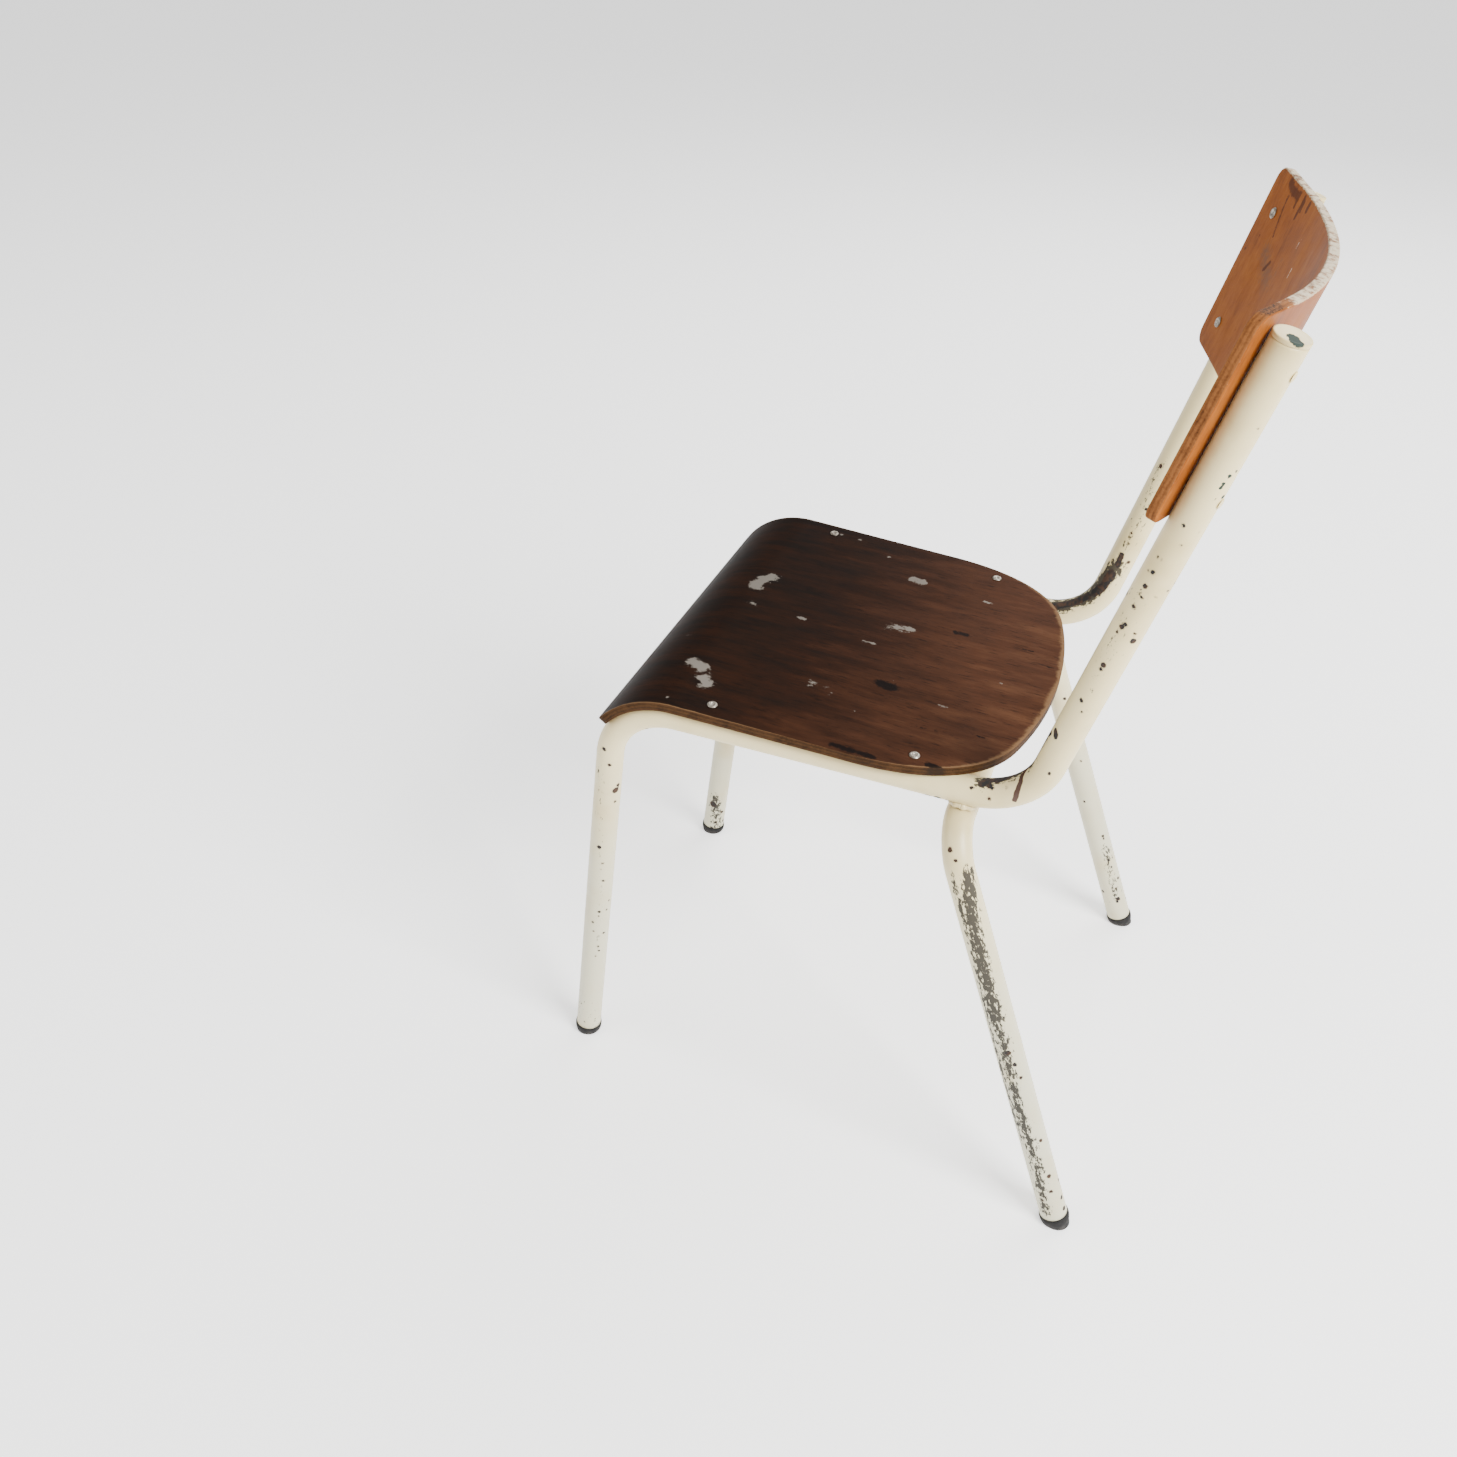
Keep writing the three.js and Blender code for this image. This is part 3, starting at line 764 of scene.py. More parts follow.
def turned(
    bm: bmesh.types.BMesh, section: list[tuple[float, float]], sides: int, stand: Matrix
) -> None:
    """Spins a half section, given in millimetres, into a body of revolution.

    Args:
        bm: The mesh that takes it.
        section: Radius and height of each corner, from the axis back to the axis.
        sides: Steps of the spin.
        stand: Puts the body, made round +Z, in its place.
    """
    chain = [bm.verts.new((x * MM, 0, z * MM)) for x, z in section]
    edges = [bm.edges.new(pair) for pair in zip(chain, chain[1:])]
    bmesh.ops.spin(
        bm, geom=chain + edges, cent=(0, 0, 0), axis=(0, 0, 1), angle=2 * math.pi,
        steps=sides, use_merge=True, use_duplicate=False,
    )
    bmesh.ops.remove_doubles(bm, verts=bm.verts, dist=1e-6)
    bmesh.ops.recalc_face_normals(bm, faces=bm.faces)
    lie = bm.verts.layers.float_vector["lie"]
    for vert in bm.verts:
        vert[lie] = tuple(vert.co)
    bmesh.ops.transform(bm, matrix=stand, verts=bm.verts)


def standing(place: Vector, facing: Vector) -> Matrix:
    """Turns +Z to a direction and moves it to a place."""
    return Matrix.Translation(place) @ facing.to_track_quat("Z", "Y").to_matrix().to_4x4()


def bezier(points: list[tuple[float, float]], share: float) -> tuple[float, float]:
    """A place on a Bezier curve, found by drawing its control points together."""
    while len(points) > 1:
        points = [
            tuple(a + (b - a) * share for a, b in zip(start, end))
            for start, end in zip(points, points[1:])
        ]
    return points[0]


def evenly(points: list[tuple[float, float]], steps: int) -> list[tuple[float, float]]:
    """Places spaced evenly along a chain of points, its two ends among them."""
    lengths = [0.0]
    for start, end in zip(points, points[1:]):
        lengths.append(lengths[-1] + math.dist(start, end))
    places, at = [], 0
    for i in range(steps + 1):
        goal = lengths[-1] * i / steps
        while at < len(points) - 2 and lengths[at + 1] < goal:
            at += 1
        share = (goal - lengths[at]) / (lengths[at + 1] - lengths[at])
        places.append(bezier(points[at : at + 2], share))
    return places


def drawn_in(over_x: float, over_y: float) -> tuple[float, float]:
    """Draws a place beyond a corner's centre in from the square corner to the round one."""
    if over_x <= 0 or over_y <= 0:
        return over_x, over_y
    pull = max(over_x, over_y) / math.hypot(over_x, over_y)
    return over_x * pull, over_y * pull


def mould(
    bm: bmesh.types.BMesh, ply: float, bent: Callable, rear_material: int
) -> set[bmesh.types.BMVert]:
    """Gives a sheet that is laid out flat its thickness, and bends it.

    Args:
        bm: The sheet.
        ply: Its thickness.
        bent: Gives the moulded place for across, along and depth.
        rear_material: The number of the far face's material; the edge has the next one.

    Returns:
        The vertices of the far face.
    """
    lie, depth = bm.verts.layers.float_vector["lie"], bm.verts.layers.float["depth"]
    grown = bmesh.ops.extrude_face_region(bm, geom=list(bm.faces))["geom"]
    behind = {part for part in grown if isinstance(part, bmesh.types.BMVert)}
    for vert in bm.verts:
        vert[depth] = 1.0 if vert in behind else 0.0
        across, along, _ = vert[lie]
        vert.co = bent(across, along, vert[depth] * ply)
    for face in bm.faces:
        far = sum(vert in behind for vert in face.verts)
        edge = 0 < far < len(face.verts)
        face.material_index = rear_material + 1 if edge else rear_material if far else 0
    bmesh.ops.recalc_face_normals(bm, faces=bm.faces)
    return behind


# ------------------------------------------------------------------------------ tube frame
@dataclass
class TubeFrame:
    """The welded frame: two side tubes, the rear leg hoop, the cross tube, caps and welds."""

    sizes: ChairSizes
    finishes: Finishes
    front_bend: float = 0.062
    rear_bend: float = 0.058
    hoop_station: float = 0.308
    hoop_half: float = 0.185
    hoop_foot_half: float = 0.205
    hoop_foot_reach: float = 0.139
    hoop_bend: float = 0.036
    cross_station: float = 0.130
    cross_radius: float = 0.010
    plug_height: float = 0.0103
    weld_bite: float = 0.002
    bead_steps: int = 48
    bead_sides: int = 12
    cross_sides: int = 32
    sides: int = 48
    step: float = 0.002

    def side_corners(self, side: Side) -> list[Vector]:
        """A side tube's foot, front corner, rear corner and top."""
        s, x = self.sizes, side.value
        return [
            Vector((x * s.front_half, s.corner_y - s.foot_reach, 0)),
            Vector((x * s.front_half, s.corner_y, s.corner_z)),
            Vector((x * s.rear_half, s.corner_y + s.rail_length, s.corner_z - s.rail_drop)),
            s.back_place(x * s.top_half, s.upright_length, 0),
        ]

    def hoop_corners(self, side: Side) -> list[Vector]:
        """A rear leg's foot and the corner where the hoop turns over."""
        drop = -(2 * self.sizes.tube_radius + self.sizes.fit)
        bar = self.sizes.seat_place(side.value * self.hoop_half, self.hoop_station, drop)
        return [Vector((side.value * self.hoop_foot_half, bar.y + self.hoop_foot_reach, 0)), bar]

    def tube_end(self, foot: Vector, above: Vector) -> Vector:
        """Where the tube starts, up a leg from the floor."""
        return foot + (above - foot).normalized() * self.plug_height

    def chips(self) -> list[Mark]:
        """Where the enamel is knocked off down to the steel."""
        upright = spots(
            1.8,
            (181, 216, 699, 1.2), (180, 217, 684, 0.8), (177, 204, 671, 0.9), (178, 207, 670, 0.7),
            (177, 203, 659, 1.5), (175, 200, 659, 0.6), (176, 200, 647, 1.9), (176, 199, 638, 1.0),
            (175, 195, 629, 1.5), (166, 189, 633, 1.5), (176, 208, 640, 0.9), (174, 189, 610, 2.0),
            (174, 192, 613, 1.5), (173, 187, 605, 0.9), (173, 199, 600, 2.2), (174, 199, 607, 0.9),
            (172, 182, 575, 1.8), (172, 181, 571, 1.6), (169, 171, 539, 1.6), (169, 173, 529, 0.9),
            (162, 156, 502, 2.1), (164, 157, 498, 1.9), (158, 153, 496, 1.6), (182, 230, 775, 0.7),
            (184, 247, 774, 0.6), (170, 218, 650, 0.9), (173, 215, 644, 1.1), (178, 226, 694, 0.5),
            (-151, 182, 590, 1.7), (-146, 177, 548, 1.4), (-145, 168, 522, 1.2), (-144, 170, 492, 1.5),
        )
        bend = spots(
            2.2,
            (155, 152, 494, 1.8), (163, 156, 501, 2.6), (152, 147, 477, 1.8), (151, 145, 469, 1.6),
            (148, 141, 455, 3.4), (146, 134, 445, 3.2), (148, 126, 438, 3.2), (149, 118, 434, 5.2),
            (152, 109, 431, 4.2), (155, 106, 430, 2.8), (156, 112, 430, 2.0), (160, 99, 427, 1.2),
            (158, 115, 430, 1.2), (159, 126, 435, 1.0), (165, 157, 463, 1.2), (163, 114, 423, 1.2),
            (177, -181, 417, 1.3),
        )
        rear_leg = spots(
            1.8,
            (190, 93, 384, 2.0), (194, 99, 378, 1.4), (175, 108, 383, 1.4), (179, 110, 376, 1.6),
            (178, 109, 379, 1.0), (207, 165, 195, 2.4), (207, 172, 183, 1.8), (206, 179, 169, 1.6),
            (208, 205, 101, 1.6), (211, 218, 62, 1.8), (213, 222, 45, 1.6), (206, 232, 33, 1.8),
            (207, 236, 21, 2.0), (197, 219, 66, 1.6), (202, 226, 50, 1.4), (216, 217, 33, 1.4),
            (-179, 131, 301, 1.6), (-183, 158, 224, 1.0), (-184, 169, 171, 1.0), (-189, 195, 126, 1.6),
            (-190, 196, 122, 0.9), (-191, 206, 93, 1.1), (-191, 204, 99, 0.9), (-193, 207, 45, 1.8),
            (-200, 212, 17, 1.8), (-193, 224, 40, 2.2), (-193, 219, 54, 1.4), (-192, 224, 36, 1.4),
        )
        front_leg = spots(
            1.8,
            (183, -221, 388, 1.9), (182, -217, 371, 1.6), (182, -228, 361, 1.1), (183, -223, 350, 0.8),
            (183, -229, 339, 0.8), (183, -225, 338, 0.8), (182, -221, 336, 0.8), (177, -215, 339, 3.0),
            (175, -213, 344, 1.6), (177, -216, 325, 1.4), (183, -232, 270, 2.0), (182, -230, 249, 1.1),
            (182, -232, 242, 0.9), (181, -231, 226, 1.3), (183, -244, 169, 1.3), (182, -237, 184, 1.2),
            (182, -238, 178, 0.9), (183, -244, 157, 0.9), (177, -236, 152, 1.2), (174, -230, 195, 0.9),
            (176, -232, 184, 0.9), (181, -241, 135, 1.2), (180, -241, 128, 0.9), (182, -244, 121, 0.9),
            (-159, -259, 49, 4.1), (-160, -256, 20, 1.9), (-165, -250, 35, 1.9), (-169, -250, 18, 1.9),
            (-159, -261, 10, 1.9),
        )
        far_bend = [
            Mark(((-143, 163, 499), (-142, 161, 488)), 2.2, 2.2),
            Mark(((-141, 157, 478), (-141, 152, 463), (-142, 145, 454)), 3.8, 2.5),
            Mark(((-143, 139, 448), (-145, 126, 436), (-145, 115, 431), (-143, 104, 427)), 3.4, 2.6),
            Mark(((-153, 145, 469), (-154, 138, 451), (-156, 126, 438)), 3.2, 2.5, 0.6),
            Mark(((-156, 120, 434), (-158, 98, 429)), 3.0, 2.4, 0.6),
        ]
        inside = ((149, 112, 433), (148, 126, 438), (146, 134, 445), (148, 141, 455), (151, 147, 472),
                  (156, 153, 493))
        far_bend.append(Mark(inside, 4.2, 3.2, 0.56))
        return upright + bend + rear_leg + front_leg + far_bend

    def scuffs(self) -> list[Mark]:
        """Where the enamel is rubbed and scratched."""
        leg = ((194, 110, 368), (198, 114, 348), (201, 120, 323), (203, 134, 277), (205, 150, 230))
        low = ((205, 150, 230), (207, 163, 194), (209, 175, 157), (211, 190, 116), (214, 206, 71),
               (216, 221, 19))
        edge = ((198, 98, 367), (203, 127, 281), (204, 144, 225), (207, 171, 145), (211, 191, 92))
        return [
            Mark(leg, 6.5, 6.5, 1.0), Mark(low, 5.0, 6.0, 0.9), Mark(edge, 2.5, 3.5, 0.9),
            Mark(((150, 146, 466), (148, 126, 438), (153, 106, 430)), 7, 6, 0.9),
            Mark(((-142, 160, 485), (-143, 139, 448), (-145, 115, 431), (-143, 98, 427)), 7, 7, 1.2),
            Mark(((-154, 140, 455), (-157, 110, 430)), 5, 6, 1.1),
            Mark(((-190, 200, 110), (-193, 222, 40)), 6, 6, 0.6),
            Mark(((-160, -256, 60), (-165, -258, 12)), 7, 6, 0.8),
            Mark(((183, -225, 388), (183, -232, 250), (182, -242, 130)), 5, 6, 0.35),
            Mark(((172, -262, 60), (172, -262, 12)), 14, 8, 0.4),
            Mark(((175, 196, 640), (170, 172, 540)), 6, 7, 0.4),
            Mark(((-150, 180, 590), (-144, 168, 510)), 7, 7, 0.5),
        ]

    def mark_up(self, bm: bmesh.types.BMesh) -> None:
        """Lays the frame's wear, grime and runs on one of its tubes."""
        for name, marks in (("chip", self.chips()), ("scuff", self.scuffs())):
            # The right side's outer faces take their knocks as the left side's do.
            outer = [mark.mirrored() for mark in marks if mark.path[0][0] > 172]
            paint(bm, name, marks + outer[1::2])
        joints = [self.hoop_corners(side)[1] / MM for side in Side]
        grime = [
            Mark(((p.x - side.value * 37, p.y, p.z + 12),), 12, 12, 0.7)
            for side, p in zip(Side, joints)
        ]
        paint(bm, "grime", [*grime, Mark(((156, 192, 512),), 18, 15, 0.2)])
        caps = spots(3.0, (182, 255, 835, 4.6), (187, 257, 833, 4.6), (-172, 254, 834, 6.0))
        under = spots(2.5, (162, 65, 410, 3.0), (163, 73, 411, 2.6), (161, 81, 409, 2.6))
        line = spots(
            1.8, (182, 233, 730, 1.3), (182, 234, 733, 1.4), (182, 237, 739, 1.5),
            (179, 240, 742, 1.3), (181, 231, 721, 1.1), (177, 236, 722, 1.4),
        )
        paint(bm, "green", caps + under + line)
        rust = (
            (150, 143, 461), (151, 138, 451), (155, 136, 447), (159, 136, 444), (162, 135, 437),
            (163, 134, 428),
        )
        paint(bm, "run", [Mark(rust, 2.1, 2.0)])

    def enamelled(self, bm: bmesh.types.BMesh, name: str, *nodes: str) -> None:
        """Lays the wear on a mesh and turns it into an enamelled piece."""
        self.mark_up(bm)
        finish_piece(bm, name, Finish.ENAMEL, [self.finishes.enamel], nodes)

    def build_tube(
        self, name: str, node: str, corners: list[Vector], bends: list[float],
        radius: float, sides: int,
    ) -> None:
        """Draws one of the frame's tubes.

        Args:
            name: The piece's name.
            node: The CAD node that it stands for.
            corners: Its ends and corners.
            bends: The radius of the bend at each corner.
            radius: The tube's own radius.
            sides: Corners of its section.
        """
        run = bent_run(corners, bends, self.step)
        bm = new_mesh()
        sweep(bm, run, [radius] * len(run), sides)
        self.enamelled(bm, name, node)

    def build_side_tube(self, side: Side) -> None:
        """Front leg, rail and upright of one side."""
        foot, front, rear, top = self.side_corners(side)
        self.build_tube(
            f"bent_side_tube_{side.word}", f"side_tube_{side.word}",
            [self.tube_end(foot, front), front, rear, top], [self.front_bend, self.rear_bend],
            self.sizes.tube_radius, self.sides,
        )

    def build_hoop(self) -> None:
        """Both rear legs and the bar under the rails."""
        foot_l, bar_l = self.hoop_corners(Side.LEFT)
        foot_r, bar_r = self.hoop_corners(Side.RIGHT)
        self.build_tube(
            "bent_leg_hoop", "rear_leg_hoop",
            [self.tube_end(foot_l, bar_l), bar_l, bar_r, self.tube_end(foot_r, bar_r)],
            [self.hoop_bend] * 2, self.sizes.tube_radius, self.sides,
        )

    def build_cross_tube(self) -> None:
        """The short tube between the rails."""
        reach = self.sizes.rail_half(self.cross_station) - self.sizes.tube_radius + self.weld_bite
        ends = [self.sizes.seat_place(x, self.cross_station, 0) for x in (-reach, reach)]
        self.build_tube(
            "welded_cross_tube", "front_cross_tube", ends, [], self.cross_radius, self.cross_sides
        )

    def build_cap(self, side: Side) -> None:
        """The flat cap on an upright, with its spigot down the tube."""
        _, _, rear, top = self.side_corners(side)
        bm = new_mesh()
        section = [
            (0, -2.5), (10.6, -2.5), (10.6, 0.2), (12.3, 0.2), (12.55, 0.5), (12.55, 2.5),
            (12.3, 3.0), (11.8, 3.25), (11.2, 3.3), (10.4, 3.05), (8.3, 3.05),
            (6.2, 3.05), (4.1, 3.05), (2.0, 3.05), (0, 3.05),
        ]
        turned(bm, section, self.sides, standing(top, (top - rear).normalized()))
        self.enamelled(bm, f"upright_cap_{side.word}", f"tube_cap_{side.word}")

    def weld_ring(self, bm: bmesh.types.BMesh, side: Side) -> None:
        """A lumpy fillet round the touch of the hoop's bar and a rail."""
        s = self.sizes
        across = side.value * s.rail_half(self.hoop_station)
        touch = s.seat_place(across, self.hoop_station, -s.tube_radius)
        spread, count = 0.0088, self.bead_steps
        run, radii = [], []
        for i in range(count + 1):
            angle = 2 * math.pi * i / count
            x, y = spread * math.cos(angle), spread * math.sin(angle)
            rise = s.tube_radius - math.sqrt(s.tube_radius**2 - x * x)
            dip = s.tube_radius - math.sqrt(s.tube_radius**2 - y * y)
            place = touch + Vector((x, 0, 0)) + s.rail * y + s.rail_normal * (rise - dip) / 2
            run.append((place, Vector((-math.sin(angle), 0, 0)) + s.rail * math.cos(angle)))
            radii.append((rise + dip) / 2 + 0.0012 + 0.0005 * math.sin(9 * angle))
        sweep(bm, run, radii, self.bead_sides)

    def cross_weld(self, bm: bmesh.types.BMesh, side: Side) -> None:
        """A lumpy fillet round an end of the cross tube."""
        s = self.sizes
        spread, count = self.cross_radius + 0.0004, self.bead_steps
        run, radii = [], []
        for i in range(count + 1):
            angle = 2 * math.pi * i / count
            along, off = spread * math.cos(angle), spread * math.sin(angle)
            sink = math.sqrt(s.tube_radius**2 - off**2)
            across = side.value * (s.rail_half(self.cross_station) - sink)
            place = s.seat_place(across, self.cross_station + along, off)
            run.append((place, s.rail * -math.sin(angle) + s.rail_normal * math.cos(angle)))
            radii.append(0.0024 + 0.0004 * math.sin(11 * angle))
        sweep(bm, run, radii, self.bead_sides)

    def build_welds(self) -> None:
        """The weld beads, painted over with the frame."""
        for side in Side:
            for name, bead in (("hoop_weld", self.weld_ring), ("cross_weld", self.cross_weld)):
                bm = new_mesh()
                bead(bm, side)
                self.enamelled(bm, f"{name}_{side.word}")

    def build(self) -> None:
        """Makes the whole frame."""
        for side in Side:
            self.build_side_tube(side)
            self.build_cap(side)
        self.build_hoop()
        self.build_cross_tube()
        self.build_welds()


# ------------------------------------------------------------------------------ seat
@dataclass
class SeatBoard:
    """The moulded seat: flat on the rails, rolled down over their front bends."""

    sizes: ChairSizes
    finishes: Finishes
    half_front: float = 0.186
    half_rear: float = 0.177
    length: float = 0.352
    roll_degrees: float = 58.0
    bend: float = 0.062
    corner: float = 0.012
    # Two curves make the rear edge, in shares of the rear half width and of the length.
    back_curve: tuple = ((0, 1), (0.312, 1), (0.6, 0.955))
    haunch_curve: tuple = ((0.6, 0.955), (0.87, 0.91), (1, 0.77), (1, 0.585))
    rim_fade: float = 0.0035
    edge_rub: float = 0.12
    columns: int = 140
    rows: int = 160

    @property
    def tangent(self) -> float:
        """How far behind the front corner the roll starts."""
        s = self.sizes
        leg = math.atan2(s.corner_z, s.foot_reach)
        return self.bend * math.tan((leg + math.atan2(s.rail_drop, s.rail_length)) / 2)

    @property
    def face(self) -> float:
        """The top face's height off the rail axes."""
        return self.sizes.tube_radius + self.sizes.fit + self.sizes.ply

    @property
    def front(self) -> float:
        """The front edge's place when the top face is laid flat."""
        return self.tangent - (self.bend + self.face) * math.radians(self.roll_degrees)

    def rear_edge(self) -> list[tuple[float, float]]:
        """Even points down the left half of the rear edge, from its middle to the side."""
        back, haunch = [
            [(x * self.half_rear, y * self.length) for x, y in curve]
            for curve in (self.back_curve, self.haunch_curve)
        ]
        points = [bezier(back, i / 60) for i in range(60)]
        points += [bezier(haunch, i / 120) for i in range(121)]
        return evenly(points, 200)

    def layout(self, u: float, v: float, rear: list[tuple[float, float]]) -> tuple[float, float]:
        """A place on the board laid flat.

        Args:
            u: From -1 at the right side to 1 at the left.
            v: From 0 at the front edge to 1 at the rear.
            rear: The rear edge, as evenly spaced points of its left half.

        Returns:
            Across, and back from the rails' front corner.
        """
        at = abs(u) * (len(rear) - 1)
        low = min(int(at), len(rear) - 2)
        share = at - low
        back_x, back_y = bezier(rear[low : low + 2], share)
        front_x = self.half_front * abs(u)
        x = front_x + (back_x - front_x) * v
        y = self.front + (back_y - self.front) * v
        side, ahead = self.half_front - self.corner, self.front + self.corner
        over_x, over_y = drawn_in(x - side, ahead - y)
        x, y = side + over_x, ahead - over_y
        return math.copysign(x, u), y

    def bent(self, across: float, along: float, depth: float) -> Vector:
        """Where a place on the flat layout lies on the moulded board."""
        off = self.face - depth
        if along >= self.tangent:
            return self.sizes.seat_place(across, along, off)
        angle = (self.tangent - along) / (self.bend + self.face)
        radius = self.bend + off
        return self.sizes.seat_place(
            across, self.tangent - radius * math.sin(angle), radius * math.cos(angle) - self.bend
        )

    def marks(self) -> dict[str, list[Mark]]:
        """Paint spots, ink and rubbed places, across and back from the rails' front corner."""
        chalk = [
            Mark(((-52, 61), (-42, 54), (-31, 52)), 9, 8, 0.9), Mark(((-1, 54), (0, 64)), 6, 7, 0.62),
            Mark(((-114, 188), (-114, 198)), 6, 5, 0.9), Mark(((-21, 192), (-24, 208)), 7, 7, 0.8),
            Mark(((3, 108), (3, 116)), 2.2, 3), Mark(((13, 176), (13, 186)), 2.5, 4),
            Mark(((114, 50), (119, 60)), 9, 7, 0.85),
            Mark(((133, 66), (139, 72)), 9, 7, 0.85), Mark(((67, 14), (67, 26)), 4, 6, 0.55),
            Mark(((98, 154), (101, 172)), 8, 8, 0.58), Mark(((-105, 262), (-105, 271)), 3, 4, 0.8),
            Mark(((79, 263), (79, 271)), 2.5, 4, 0.8), Mark(((62, 208), (62, 218)), 4, 6, 0.6),
            Mark(((61, 80), (61, 90)), 5, 7, 0.5), Mark(((37, 32), (37, 42)), 5, 7, 0.5),
            *spots(
                2.5, (-167, 96, 2.0), (-166, 117, 2.0), (-146, 154, 2.0), (118, 200, 1.5),
                (23, 306, 2.0), (176, 274, 1.8), (172, 50, 2.0), (88, 120, 1.2), (-70, 130, 1.2),
            ),
        ]
        stain = [
            Mark(((70, 210), (72, 220)), 6.5, 9), Mark(((-40, 249), (-40, 259)), 4, 5, 0.85),
            Mark(((115, 250), (115, 270)), 5, 6, 0.6), Mark(((106, 300), (106, 314)), 3, 4, 0.65),
            Mark(((162, 276), (162, 286)), 5, 5, 0.8), Mark(((171, 198), (172, 234)), 5, 5, 0.75),
            Mark(((-41, 312), (-41, 321)), 2, 3, 0.8), Mark(((-22, 334), (-22, 349)), 2, 3, 0.8),
            Mark(((75, 82), (75, 114)), 7, 8, 0.5), Mark(((-146, 224), (-146, 241)), 4, 5, 0.55),
            Mark(((48, 286), (48, 300)), 4, 5, 0.5),
        ]
        return {"chalk": chalk, "stain": stain}

    def build(self) -> None:
        """Makes the seat: a grid laid out flat, thickened, then bent."""
        bm = new_mesh()
        rear = self.rear_edge()
        bmesh.ops.create_grid(bm, x_segments=self.columns, y_segments=self.rows, size=1.0)
        layers = bm.verts.layers
        lie, rim, rub = layers.float_vector["lie"], layers.float["rim"], layers.float["rub"]
        for vert in bm.verts:
            u, v = vert.co.x, (vert.co.y + 1) / 2
            across, along = self.layout(u, v, rear)
            vert[lie] = (across, along, 0)
            inset = min((1 - abs(u)) * self.half_front, (1 - v) * 0.5 * self.length, v * self.length)
            vert[rim] = math.exp(-inset / self.rim_fade)
            vert[rub] = self.edge_rub
        for name, laid in self.marks().items():
            paint(bm, name, laid, laid_flat=True)
        mould(bm, self.sizes.ply, self.bent, 1)
        f = self.finishes
        piece = finish_piece(
            bm, "moulded_seat", Finish.SEAT_PLY, [f.seat_face, f.seat_under, f.seat_edge], ("seat_board",)
        )
        soften(piece, 1.1, 3)


